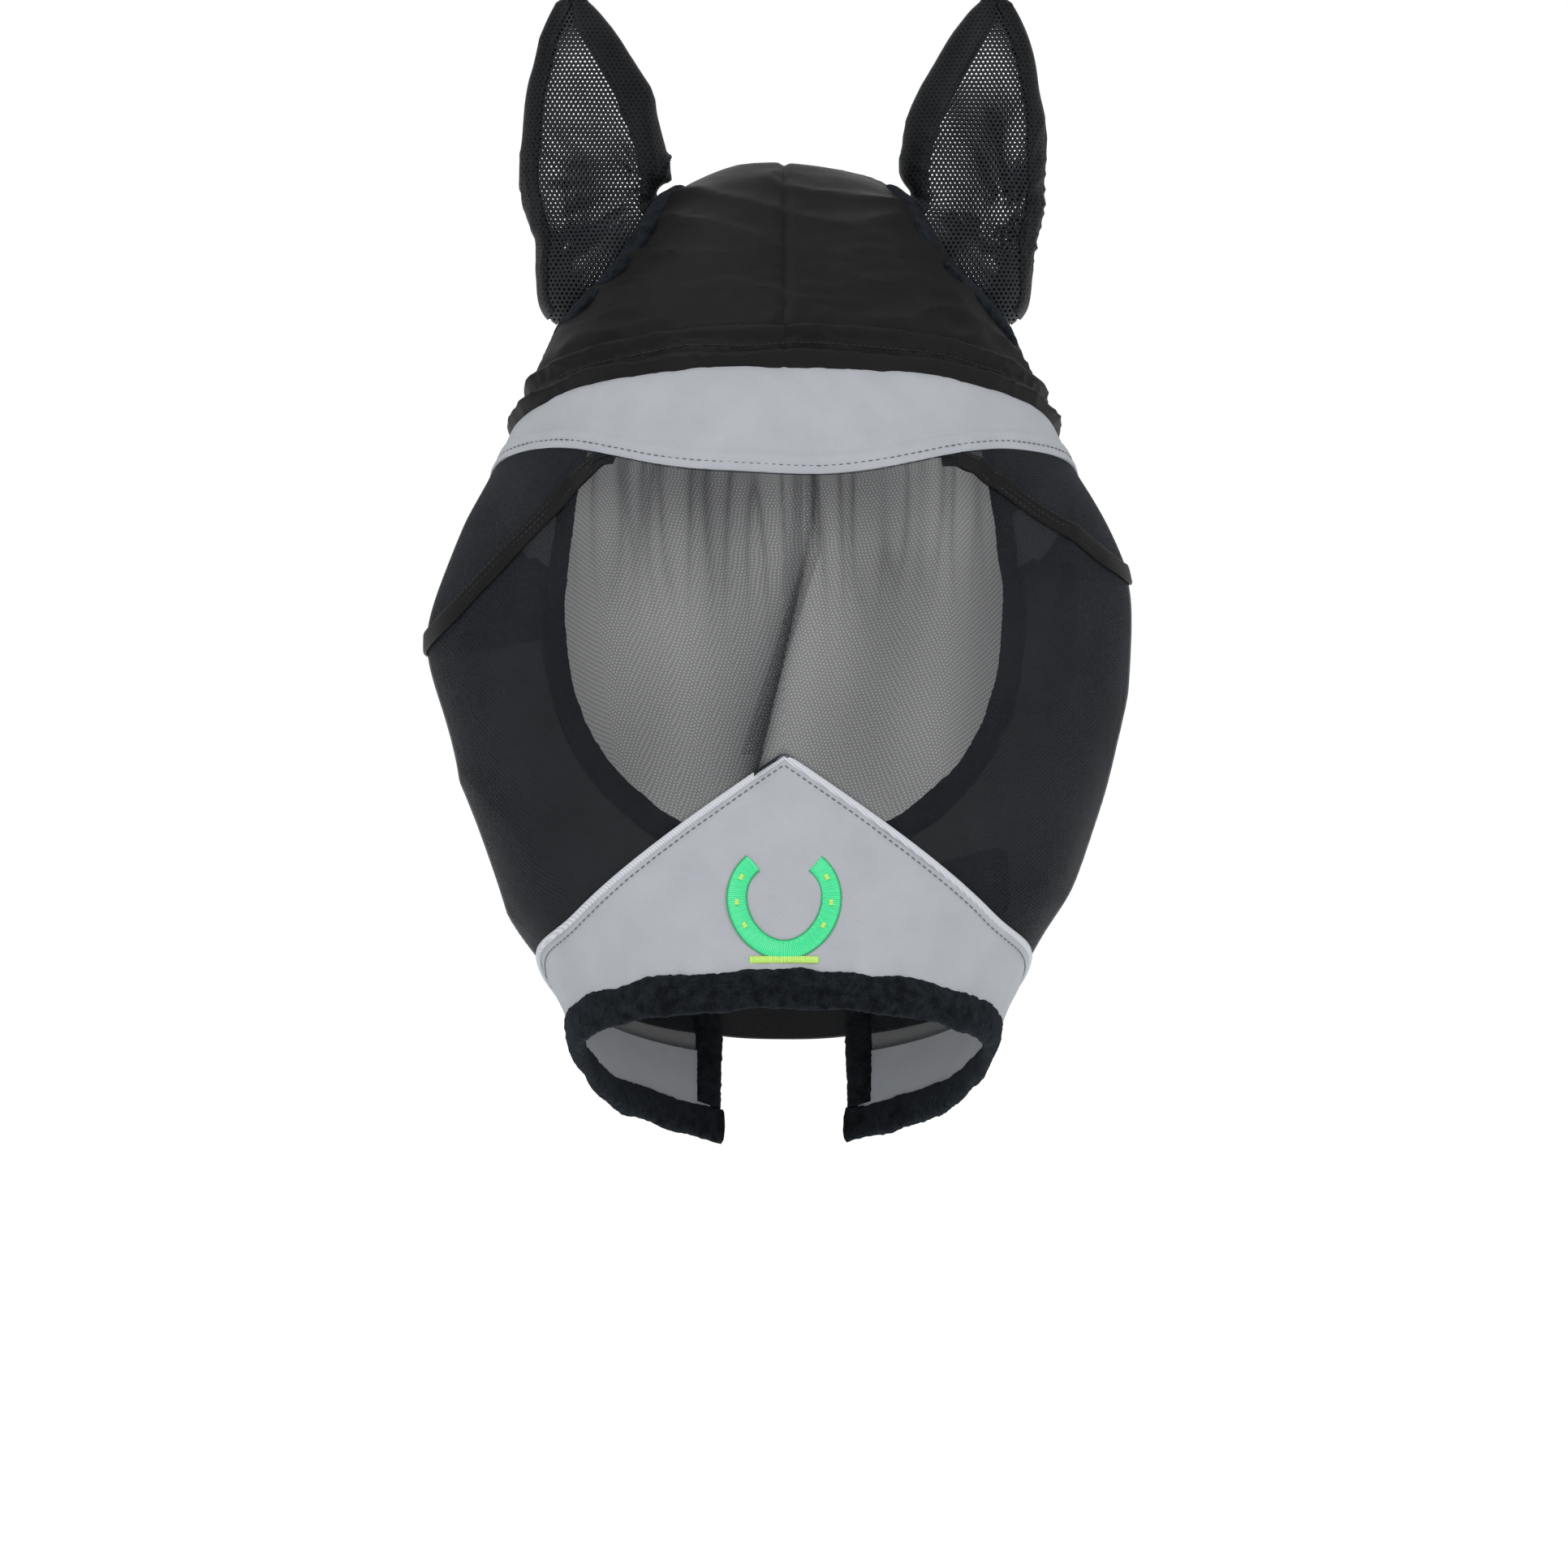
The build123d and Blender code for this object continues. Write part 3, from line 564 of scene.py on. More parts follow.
def band(name, path, out, outline, closed=False, fuzz=0.0, lumps=0.0):
    """A strip swept along a path of points, with its back to the head, and its pile raised by random waves."""
    path, out = np.asarray(path), np.asarray(out)
    run = np.roll(path, -1, 0) - np.roll(path, 1, 0) if closed else np.gradient(path, axis=0)
    run /= np.linalg.norm(run, axis=1, keepdims=True)
    out = out - run * (out * run).sum(1, keepdims=True)
    out /= np.linalg.norm(out, axis=1, keepdims=True)
    side = np.cross(run, out)
    outline = np.asarray(outline)
    spread = side[:, None] * outline[None, :, :1] + out[:, None] * (outline[None, :, 1:])
    places = path[:, None] + spread
    middle = outline.mean(0)
    away = side[:, None] * (outline[None, :, :1] - middle[0]) + out[:, None] * (outline[None, :, 1:] - middle[1])
    away /= np.linalg.norm(away, axis=-1, keepdims=True)
    if fuzz or lumps:
        rise = (
            fuzz * waves(places, 1.5 * MM, 0.7) + 0.6 * fuzz * waves(places, 4 * MM, 3.3) + lumps
            * waves(places, 15 * MM, 6.1)
        )
        places = places + away * rise[..., None]
    rows, columns = places.shape[:2]
    if closed:
        places = np.concatenate([places, places[:1]])
    faces = grid_faces(rows + closed, columns, closed=True)
    if closed:
        faces = [[n % (rows * columns) for n in quad] for quad in faces]
        places = places[:-1]
    else:
        faces += [list(range(columns)), [(rows - 1) * columns + i for i in reversed(range(columns))]]
    along = np.repeat(lengths(path[None], 1)[0][:, None], columns, 1)
    across = np.repeat(
        np.concatenate([[0], np.cumsum(np.linalg.norm(np.diff(outline, axis=0), axis=1))])[None], rows, 0
    )
    return new_piece(name, places, faces, np.stack([across, along], -1).reshape(-1, 2))


def even(path, step, closed=False):
    """A path of points put at even steps, and smoothed a little."""
    path = np.asarray(path, float)
    if closed:
        path = np.concatenate([path, path[:1]])
    along = lengths(path[None], 1)[0]
    places = np.linspace(0, along[-1], max(int(along[-1] / step), 4) + 1)
    fine = np.stack([np.interp(places, along, path[:, c]) for c in range(3)], 1)
    return fine[:-1] if closed else fine


def as_many(values, count):
    """Values along a path, spread evenly over another count of points."""
    share, old = np.linspace(0, 1, count), np.linspace(0, 1, len(values))
    return np.stack([np.interp(share, old, values[:, c]) for c in range(3)], 1)


# Polyester polar fleece, dyed black: a matt brushed pile of short tangled fibres, its tufts about 1 mm across, and a
# soft bluish bloom where it is seen edge on.
fleece, tree, surface = new_material("polar_fleece_dyed_black", 0.95, 0.04, 0.16, "#6F7A86", 0.6)
place = object_place(tree)
tufts = add_node(tree, "TexNoise", {"Scale": 900.0, "Detail": 4.0, "Roughness": 0.7}, {0: place})
clumps = add_node(tree, "TexNoise", {"Scale": 230.0, "Detail": 2.0}, {0: place})
mixed = add_node(tree, "Math", {"operation": "MULTIPLY"}, {0: tufts.outputs[0], 1: clumps.outputs[0]})
spread = add_node(tree, "MapRange", {"From Min": 0.15, "From Max": 0.40}, {0: mixed.outputs[0]})
colour_by(tree, surface, "#08090B", "#1E2226", spread.outputs[0])
raise_by(tree, surface, spread.outputs[0], 0.8, 0.5 * MM)

cloth_tree, _ = node_tree(CLOTH + FLEECE)
for side_name, side in SIDES.items():
    seat = ear_seats[side_name]
    third = np.cross(seat["opening"], seat["across"])
    ring_path, ring_out = [], []
    for t in np.radians(np.arange(0, 360, 2.4)):
        foot = seat["middle"] + EAR_RING_RADIUS * (np.cos(t) * seat["across"] + np.sin(t) * third)
        place, normal, _, _ = cloth_tree.ray_cast(Vector(foot - 0.03 * seat["opening"]), Vector(seat["opening"]))
        normal = np.array(normal) * np.sign(np.dot(normal, seat["opening"]))
        ring_path.append(np.array(place) + FLEECE_SINK * normal)
        ring_out.append(normal)
    for again in range(3):
        ring_path = [
            (ring_path[i - 1] + 2 * p + ring_path[(i + 1) % len(ring_path)]) / 4 for i, p in enumerate(ring_path)
        ]
        ring_out = [(ring_out[i - 1] + 2 * p + ring_out[(i + 1) % len(ring_out)]) / 4 for i, p in enumerate(ring_out)]
    if side < 0:
        ring_path, ring_out = ring_path[::-1], ring_out[::-1]
    profile = round_band(10.2 * MM, -1.4 * MM, 4.2 * MM)
    ring = band(f"ear_fleece_{side_name}", ring_path, ring_out, profile, True, 0.30 * MM, 0.5 * MM)
    settle(ring, "hood", fleece, [f"ear_ring_{side_name}"])

# ---------------------------------------------------------------- brow band
# A shaped band of cool grey softshell across the forehead, deepest in the middle. Its upper edge is sewn into the
# seam of the crown's roll, and its lower edge is turned under, top-stitched 3 mm in, and holds the mesh's gathers.
def owner_rows(angles, names, first, last):
    """The row in each column where a node of these names is first met, going down from first to last."""
    rows = []
    for a in angles:
        found = next((r for r in np.arange(first, last, 2.0) if cast(a, r)[1] in names), np.nan)
        if found > first:
            low, high = found - 2.0, found
            for again in range(6):
                half = (low + high) / 2
                low, high = (low, half) if cast(a, half)[1] in names else (half, high)
            found = high
        rows.append(found)
    rows = np.array(rows, float)
    known = ~np.isnan(rows)
    return np.interp(angles, angles[known], rows[known])


MESH_NODES = [f"{part}_{side}" for part in ("temple_mesh", "face_mesh") for side in SIDES]
whole_turn = np.arange(-180, 180.1, 2.0)
brow_rows = owner_rows(whole_turn, MESH_NODES, 118.0, 170.0)
brow_rows = np.where(abs(whole_turn) > 122, brow_rows[abs(whole_turn) < 122].min(), brow_rows)


def brow_row(angle):
    return np.interp(angle, whole_turn, brow_rows) + 0.5 * np.sin(np.radians(angle) * 7)


# Three-layer polyester softshell, cool grey: a tight smooth face with a fine cross-hatch 0.4 mm apart, drawn at
# 0.8 mm so that it shows, and a dull even surface.
softshell, tree, surface = new_material("polyester_softshell_cool_grey", 0.78, 0.2, 0.08, "#E8ECF4")
weave = ribs_and_lanes(tree, 0.8 * MM, 0.8 * MM)
cloudy = add_node(tree, "TexNoise", {"Scale": 55.0, "Detail": 4.0}, {0: object_place(tree)})
mixed = add_node(tree, "Math", {"operation": "MULTIPLY_ADD", 1: 0.35}, {0: weave, 2: cloudy.outputs[0]})
colour_by(tree, surface, "#92959B", "#A3A6AB", mixed.outputs[0])
raise_by(tree, surface, weave, 0.25, 0.15 * MM)

HEM = 3.4  # millimetres from the brow band's lower edge to its stitching


def brow_slack(place):
    """How far the brow band stands off where it lies slack."""
    return 0.5 * MM * waves(place, 34 * MM, 1.0, (1, 1, 0.7)) + 0.25 * MM * waves(place, 12 * MM, 4.0)


a, s = np.meshgrid(np.linspace(-138, 138, 300), np.linspace(0, 1, 40))
r = ROLL_BOTTOM - 2.0 + (brow_row(a) - ROLL_BOTTOM + 2.0) * s
place = to_head(on_head(a, r)[0])
below = (brow_row(a) - r)
loose = brow_slack(place)
lift = 1.5 * MM + loose
lift += (
    0.8 * MM * step_between(below, 9.0, 7.5) - 0.45 * MM * bump(below, HEM, 0.8) - 0.5 * MM
    * step_between(below, 1.2, 0)
)
lift -= 0.8 * MM * step_between(r, ROLL_BOTTOM + 2.5, ROLL_BOTTOM - 1)
lift += 0.22 * MM * waves(place, 5 * MM, 9.0, (1, 1, 0.25)) * step_between(below, 12, 2)
outer, inner = on_head(a, r, lift + 0.3 * MM)[0], on_head(a, r, 0.3 * MM)[0]
brow = sheet("brow_band_softshell", outer, inner)
cut_away(brow, neck_cutter)
settle(brow, "hood", softshell, ["brow_band"])
a = np.linspace(-128, 128, 330)
place = to_head(on_head(a, brow_row(a) - HEM)[0])
loose = brow_slack(place)
place, out = on_head(a, brow_row(a) - HEM, 2.35 * MM + loose)
keep = past_neck(place) < -0.004
settle(thread_row("brow_band_stitches", place[keep], out[keep]), "hood", threads["grey"])

# ---------------------------------------------------------------- mesh
# Black warp-knitted polyester net covers the eyes: one large panel on each side, joined down the face, with a small
# panel at the temple. It is gathered into the brow band, and eye darts tent it away from the eyes.
nose_rows = owner_rows(whole_turn, ["nose_piping"], 250.0, 350.0)
nose_rows[abs(whole_turn) > 160] = nose_rows[abs(whole_turn) < 160][-1]
# each dart's seam, seen from the front: widths and heights at the brow band and at the cheek
DARTS = {1: ((69, 138), (-111.5, -161.0)), -1: ((72, 138), (-110.4, -186.0))}
dart_from, dart_levels, dart_rows = np.arange(26.0, 152.0, 2.0), np.arange(120.0, 262.0, 2.0), {}
for side, (widths, heights) in DARTS.items():
    place = on_head(*np.meshgrid(dart_from * side, dart_levels))[0] / MM
    above = place[..., 2] - np.interp(np.maximum.accumulate(abs(place[..., 0]), 1), widths, heights)
    dart_rows[side] = np.array([np.interp(0, -column, dart_levels) for column in above.T])


def nose_row(angle):
    return np.interp(angle, whole_turn, nose_rows)


def dart_row(angle, side):
    """The seam between temple panel and face panel, which is a little higher on the horse's left."""
    out = abs(np.asarray(angle, float))
    row = np.where(
        np.asarray(side) > 0, np.interp(out, dart_from, dart_rows[1]), np.interp(out, dart_from, dart_rows[-1])
    )
    return np.maximum(row, brow_row(angle) - 1.0)


# Warp-knitted polyester net, dyed black: threads in a honeycomb 1.1 mm apart, drawn at 1.5 mm so that they show. It
# lets a fifth to a third of the light through over the middle of the face, and less where it lies double in gathers,
# seams and the middle tuck. The cover value on its points says so, and also paints shade: it makes the net more
# opaque, so darker, towards the sides, on the temple panel and beside the middle tuck.
net, tree, surface = new_material("polyester_warp_knit_net_black", 0.6, 0.06, 0.05, "#9AA2AC")


def honeycomb(tree, pitch, uv_name="cloth"):
    """Dots in staggered rows, pitch metres apart, as a height from -1.5 between them to 3 at their middles."""
    place = add_node(tree, "UVMap", {"uv_map": uv_name}).outputs[0]
    turns = 2 * np.pi / (pitch * 3**0.5 / 2)
    total = None
    for angle in (90, 210, 330):
        way = (turns * np.cos(np.radians(angle)), turns * np.sin(np.radians(angle)), 0.0)
        turned = add_node(tree, "VectorMath", {"operation": "DOT_PRODUCT", 1: way}, {0: place})
        wave = add_node(tree, "Math", {"operation": "COSINE"}, {0: turned.outputs["Value"]})
        total = wave if total is None else add_node(
            tree, "Math", {"operation": "ADD"}, {0: total.outputs[0], 1: wave.outputs[0]}
        )
    return total.outputs[0]


holes = honeycomb(tree, 1.5 * MM)
cover = add_node(tree, "Attribute", {"attribute_name": "cover"}).outputs["Fac"]
pores = add_node(tree, "MapRange", {"From Min": -1.0, "From Max": 2.5, "To Min": 0.05, "To Max": -0.10}, {0: holes})
shut = add_node(tree, "Math", {"operation": "ADD", "use_clamp": True}, {0: cover, 1: pores.outputs[0]})
tree.links.new(shut.outputs[0], surface.inputs["Alpha"])
cloudy = add_node(tree, "TexNoise", {"Scale": 30.0, "Detail": 3.0}, {0: object_place(tree)})
colour_by(tree, surface, "#15181B", "#282B2F", cloudy.outputs[0])
raise_by(tree, surface, holes, 0.5, 0.3 * MM)

JAW_EDGE = 31.0 * MM  # the jaw slit's edge, under the middle of its binding
jaw_side = ANGLES > 150
jaw_angles = [np.interp(-JAW_EDGE, -to_head(form[jaw_side, j])[:, 0], ANGLES[jaw_side]) for j in range(len(ROWS))]


def to_jaw_edge(share, rows_at):
    """Angles from the middle of the face, share 0, to the jaw slit's edge, share 1 or -1, and their rows."""
    angle = 168.0 * share
    for again in range(4):
        angle = share * np.interp(rows_at(angle), ROWS, jaw_angles)
    return angle, rows_at(angle)


# where the middle seam's tuck runs: from right of the middle under the brow band to left of it at the nose
TUCK_TOP, TUCK_FOOT = (11.5 * MM, -178 * MM), (-10.5 * MM, -281 * MM)


def tuck_distance(place):
    """How far a point in the head's frame is from the tuck, to the horse's left, and how far along it."""
    x, z = place[..., 0], place[..., 2]
    share = (z - TUCK_TOP[1]) / (TUCK_FOOT[1] - TUCK_TOP[1])
    bent = TUCK_TOP[0] + (TUCK_FOOT[0] - TUCK_TOP[0]) * np.sign(share) * abs(share) ** 1.1
    return x - bent, share


def net_lift(place, angle, row):
    """The net's shape off the head: gathers under the brow, the middle tuck, the darts' tents and slack folds."""
    from_brow = row - brow_row(angle)
    fade = step_between(from_brow, 95, 4) * step_between(abs(angle), 62, 40)
    gathers = (1 - abs(waves(place, 7.5 * MM, 2.0, (1.0, 0.2, 0.075)))) ** 3
    long_gathers = (1 - abs(waves(place, 16 * MM, 7.0, (1.0, 0.2, 0.10)))) ** 2
    height = fade * (2.6 * MM * gathers + 1.6 * MM * long_gathers) * step_between(from_brow, -1, 7)
    across, share = tuck_distance(place)
    strength = step_between(share, -0.22, 0.25) * step_between(share, 1.25, 0.95)
    fold = np.where(across > 0, np.exp(-across / (13 * MM)), np.exp(across / (1.6 * MM)))
    height += 4.2 * MM * fold * strength
    slack = (1 - abs(waves(place, 42 * MM, 5.0, (1.0, 0.6, 0.33)))) ** 2
    side_share = step_between(abs(angle), 30, 75)
    height += (
        (0.8 + 2.6 * side_share) * MM * slack * step_between(from_brow, 0, 25)
        * step_between(nose_row(angle) - row, 2, 26)
    )
    tent = bump(row - dart_row(angle, np.sign(place[..., 0])), 0, 26) * bump(abs(angle), 86, 17)
    return height + 4.0 * MM * tent


def net_cover(place, angle, row, temple=0.0):
    """How much of the net's area is thread, for one of its two faces, raised in places as painted shade."""
    side_share = step_between(abs(angle), 36, 78)
    across, share = tuck_distance(place)
    from_brow = row - brow_row(angle)
    # painted shade: 0.20 more cover towards the sides, and the temple's share on the temple panel, make the net
    # darker there; the rise near the brow band is its gathered cloth
    cover = 0.56 + 0.20 * side_share + 0.08 * step_between(from_brow, 36, 3) + temple
    # more cover along the middle tuck: partly the cloth lying double in the fold, partly painted shadow, up to 7 mm
    # out on the side where the fold drops away
    shadow = np.where(across < 0, np.exp(across / (7 * MM)), 0.55 * np.exp(-across / (2.2 * MM)))
    cover += 0.36 * shadow * step_between(share, -0.15, 0.5) * step_between(share, 1.2, 0.95)
    seam = bump(place[..., 0] - 11.5 * MM, 0, 0.9 * MM) * step_between(share, 0.12, -0.05)
    cover += 0.16 * seam
    streaks = (1 - abs(waves(place, 7.5 * MM, 2.0, (1.0, 0.2, 0.075)))) ** 4
    cover += 0.12 * streaks * step_between(from_brow, 80, 4) * step_between(abs(angle), 62, 40)
    cover += 0.05 * waves(
        place, 30 * MM, 4.4, (1, 0.6, 0.4)
    ) * (1 - side_share) + 0.08 * step_between(nose_row(angle) - row, 3, 0)
    return np.clip(cover, 0.05, 0.97)


NET_THICK = 0.7 * MM
for side_name, side in SIDES.items():
    # the face panel, from the middle of the face to the jaw slit
    columns = np.concatenate([np.linspace(0, 0.3, 90), np.linspace(0.305, 1, 120)]) * side
    if side < 0:
        columns = columns[::-1]
    u, s = np.meshgrid(columns, np.linspace(0, 1, 110))

    def panel_row(angle):
        top = np.where(abs(angle) > 26, dart_row(angle, side), brow_row(angle) - 1.5)
        return top + (nose_row(angle) + 1.5 - top) * s

    a, r = to_jaw_edge(u, panel_row)
    place = to_head(on_head(a, r)[0])
    lift = 0.5 * MM + net_lift(place, a, r)
    cover = net_cover(place, a, r)
    face = sheet(
        f"face_net_{side_name}", on_head(a, r, lift + NET_THICK)[0], on_head(a, r, lift)[0], {"cover": cover}
    )
    cut_away(face, neck_cutter)
    settle(face, "hood", net, [f"face_mesh_{side_name}"])
    # the temple panel, between the brow band, the dart and the neck opening
    columns = np.linspace(26, 150, 120) * side
    if side < 0:
        columns = columns[::-1]
    a, s = np.meshgrid(columns, np.linspace(0, 1, 50))
    top = brow_row(a) - 1.5
    r = top + np.maximum(dart_row(a, side) + 1.0 - top, 0.05) * s
    place = to_head(on_head(a, r)[0])
    lift = 0.9 * MM + net_lift(place, a, r)
    # the temple panel's 0.12 more cover is painted shade, which makes it darker
    cover = net_cover(place, a, r, 0.12)
    temple = sheet(
        f"temple_net_{side_name}", on_head(a, r, lift + NET_THICK)[0], on_head(a, r, lift)[0], {"cover": cover}
    )
    cut_away(temple, neck_cutter)
    settle(temple, "hood", net, [f"temple_mesh_{side_name}"])
    # the dart's welt: both panels' edges folded together, laid down and stitched three times
    reach = np.arange(28, 99, 0.5)
    start = reach[np.argmax(dart_row(reach, side) > brow_row(reach) + 0.5)] - 2.0
    a = np.linspace(start, 150, 170) * side
    r = dart_row(a, side)
    keep = past_neck(on_head(a, r)[0]) < -3 * MM
    a, r = a[keep], r[keep]
    place = to_head(on_head(a, r)[0])
    under_brow = step_between(abs(a), start + 7, start)
    welt_lift = (net_lift(place, a, r) + 1.7 * MM) * (1 - under_brow) - 0.6 * MM * under_brow
    path, out = on_head(a, r, welt_lift)
    welt = band(
        f"dart_welt_{side_name}", path, out, round_band(8.6 * MM, -0.7 * MM, 1.1 * MM, 18, 3.5), lumps=0.35 * MM
    )
    settle(welt, "hood", interlock, [f"dart_seam_{side_name}"])
    for number, shift in enumerate((-2.9, 0.0, 2.9)):
        path, out = on_head(a, r + shift, welt_lift + 1.05 * MM)
        row = thread_row(
            f"dart_stitches_{side_name}_{number + 1}", path[2:-2], out[2:-2], 2.4 * MM, 1.7 * MM, 0.42 * MM
        )
        settle(row, "hood", threads["dark"])

# the tape over the middle seam's inside, down to the nose panel
r = np.linspace(brow_row(0.0), nose_row(0.0), 60)
width_at = TUCK_TOP[0] + (TUCK_FOOT[0] - TUCK_TOP[0]) * np.linspace(-0.45, 1.15, 60).clip(0)
angle_at = 5.0 * width_at / to_head(on_head(5.0, r)[0])[:, 0]
line, out = on_head(angle_at, r)
tape_width = np.linspace(-3.0, 3.0, 7) * MM
outer = line[:, None] + tape_width[None, :, None] * np.array((1.0, 0, 0)) - out[:, None] * 0.1 * MM
seam_tape = sheet(
    "face_seam_binding", outer, outer - out[:, None] * 0.6 * MM, {"cover": np.full(outer.shape[:2], 0.14)}
)
settle(seam_tape, "hood", net, ["face_seam_tape"])

# ---------------------------------------------------------------- nose panel
# Grey softshell again, coming to a point on the face and running round under the jaw. Its upper edge is bound with a
# narrow folded piping, stitched down beside it, and its lower edge goes into the nose fleece.
NOSE_BOTTOM = 361.0  # row of the panel's lower edge, inside the nose fleece


def nose_slack(place):
    """How far the nose panel stands off where it lies slack."""
    return 0.6 * MM * waves(place, 30 * MM, 2.5, (1, 0.6, 1.0)) + 0.25 * MM * waves(place, 9 * MM, 7.5)


u, s = np.meshgrid(np.linspace(-1, 1, 400), np.linspace(0, 1, 60))
a, r = to_jaw_edge(u, lambda angle: nose_row(angle) + 1.2 + (NOSE_BOTTOM - nose_row(angle) - 1.2) * s)
place = to_head(on_head(a, r)[0])
from_top = (r - nose_row(a))
loose = nose_slack(place)
lift = 1.6 * MM + loose
lift += 0.3 * MM * waves(
    place, 5 * MM, 4.0, (1, 1, 0.3)
) * step_between(NOSE_BOTTOM - r, 14, 3) - 0.4 * MM * bump(from_top, 5.0, 1.0)
outer, inner = on_head(a, r, lift + 0.4 * MM)[0], on_head(a, r, 0.3 * MM)[0]
nose = sheet("nose_panel_softshell", outer, inner)
settle(nose, "hood", softshell, ["nose_panel"])

# Bias binding of light grey polyester twill, folded round the edge: diagonal ribs 0.5 mm apart, drawn at 0.8 mm.
twill, tree, surface = new_material("polyester_twill_binding_light_grey", 0.7, 0.2, 0.05)
place = object_place(tree)
ribs = add_node(tree, "TexWave", {"bands_direction": "DIAGONAL", "Scale": 2 * np.pi / (20 * 0.8 * MM)}, {0: place})
colour_by(tree, surface, "#A9ACB2", "#C3C6CB", ribs.outputs[0])
raise_by(tree, surface, ribs.outputs[0], 0.3, 0.15 * MM)

a = np.linspace(-166, 166, 900)
line, out = on_head(a, nose_row(a) + 1.3, 2.2 * MM)
keep = (abs(to_head(line)[:, 0]) > JAW_EDGE) | (abs(a) < 90)
line, out = line[keep], out[keep]
path = even(line, 1.6 * MM)
path_out = as_many(out, len(path))
piping = band("nose_piping_cord", path, path_out, round_band(3.0 * MM, -1.3 * MM, 0.9 * MM, 12, 2.3))
settle(piping, "hood", twill, ["nose_piping"])
place = to_head(on_head(a, nose_row(a) + 4.9)[0])
loose = nose_slack(place)
place, out = on_head(a, nose_row(a) + 4.9, 1.9 * MM + loose)
keep = (abs(to_head(place)[:, 0]) > JAW_EDGE + 6 * MM) | (abs(a) < 90)
stitches = thread_row("nose_panel_stitches", place[keep], out[keep], 2.8 * MM, 2.0 * MM, 0.5 * MM)
settle(stitches, "hood", threads["grey"])

# ---------------------------------------------------------------- horseshoe
# A plain horseshoe embroidered on the nose panel: satin stitch in glossy green thread laid square to the curve, with
# a darker edge row, lime nail dots, and a short lime bar below.
def face_spot(x, z, lift):
    """Points on the front of the head at a width and a height in the head's frame, raised by lift."""
    x, z, lift = np.broadcast_arrays(*(np.asarray(v, float) for v in (x, z, lift)))
    angle = np.degrees(np.arcsin(np.clip(x / 0.085, -1, 1)))
    for again in range(12):
        place = to_head(on_head(angle, -z / MM)[0])
        angle = angle + (x - place[..., 0]) / 0.085 * 50
    return on_head(angle, -z / MM, lift)


def satin(name, code, dark_code):
    """Rayon embroidery thread: silky strands 0.4 mm thick, drawn at 0.8 mm, with a bright gloss along them."""
    material, tree, surface = new_material(name, 0.32, 0.5, 0.2)
    surface.inputs["Anisotropic"].default_value = 0.5
    place = add_node(tree, "UVMap", {"uv_map": "cloth"})
    strands = add_node(
        tree, "TexWave", {"bands_direction": "Y", "Scale": 2 * np.pi / (20 * 0.8 * MM), "Distortion": 0.6},
        {0: place.outputs[0]},
    )
    shade = add_node(tree, "MixRGB", {"Color1": linear(dark_code), "Color2": linear(code)}, {0: strands.outputs[0]})
    tree.links.new(shade.outputs[0], surface.inputs["Base Color"])
    raise_by(tree, surface, strands.outputs[0], 0.5, 0.25 * MM)
    return material


green, lime = satin(
    "rayon_satin_stitch_green", "#46E89C", "#23B874"
), satin("rayon_satin_stitch_lime", "#C3EA72", "#93C247")
dark_green = satin("rayon_satin_stitch_dark_green", "#1FA568", "#157A4C")
emblem_points = node_points("emblem")
emblem_low, emblem_high = emblem_points.min(0), emblem_points.max(0)
shoe_x, shoe_z = (emblem_high[0] - emblem_low[0]) / 2, (emblem_high[2] - emblem_low[2]) / 2
shoe_middle = (emblem_high[2] + emblem_low[2]) / 2
STROKE = 7.4 * MM
CLOTH_TOP = 2.0 * MM


def stroke(name, x, z, width, material, ribs=0.12 * MM, height=0.8 * MM):
    """A bar of satin stitch along points on the nose panel."""
    line, out = face_spot(np.asarray(x), np.asarray(z), CLOTH_TOP)
    path = even(line, 0.5 * MM)
    share = np.linspace(0, 1, len(path))
    out = np.stack([np.interp(share, np.linspace(0, 1, len(out)), out[:, c]) for c in range(3)], 1)
    path = path + out * (ribs * np.where(np.arange(len(path)) % 2, 1, -1))[:, None]
    return settle(
        band(name, path, out, round_band(width, -0.6 * MM, height, 16, 2.4)), "hood", material
    )


turn = np.radians(np.linspace(128, 412, 120))
taper = 1 - 0.10 * np.cos(turn - np.radians(270))
shoe_line = (
    (shoe_x - STROKE / 2) * np.cos(turn) * taper, shoe_middle - 2 * MM + (shoe_z - STROKE / 2) * np.sin(turn)
)
shoe = stroke("horseshoe", *shoe_line, STROKE, green)
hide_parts("emblem")
for number, edge in enumerate((-1, 1)):
    x, z = shoe_line
    run = np.gradient(np.stack(shoe_line, 1), axis=0)
    run /= np.linalg.norm(run, axis=1, keepdims=True)
    stroke(
        f"horseshoe_edge_{number + 1}", x + edge * STROKE / 2 * run[:, 1], z - edge * STROKE / 2 * run[:, 0],
        0.9 * MM, dark_green, 0.0, 0.5 * MM,
    )
for number, degrees_round in enumerate((150, 180, 210, 330, 360, 390)):
    t = np.radians(degrees_round)
    k = np.argmin(abs(turn - t))
    x, z = shoe_line[0][k], shoe_line[1][k]
    stroke(
        f"nail_dot_{number + 1}", x + np.array((-1.1, 0, 1.1)) * MM * np.sin(t),
        z - np.array((-1.1, 0, 1.1)) * MM * np.cos(t), 1.8 * MM, lime, 0.0, 1.3 * MM,
    )
bar_z = emblem_low[2] - 2.2 * MM
stroke("lime_bar", np.linspace(-13, 13, 30) * MM, np.full(30, bar_z), 3.0 * MM, lime)

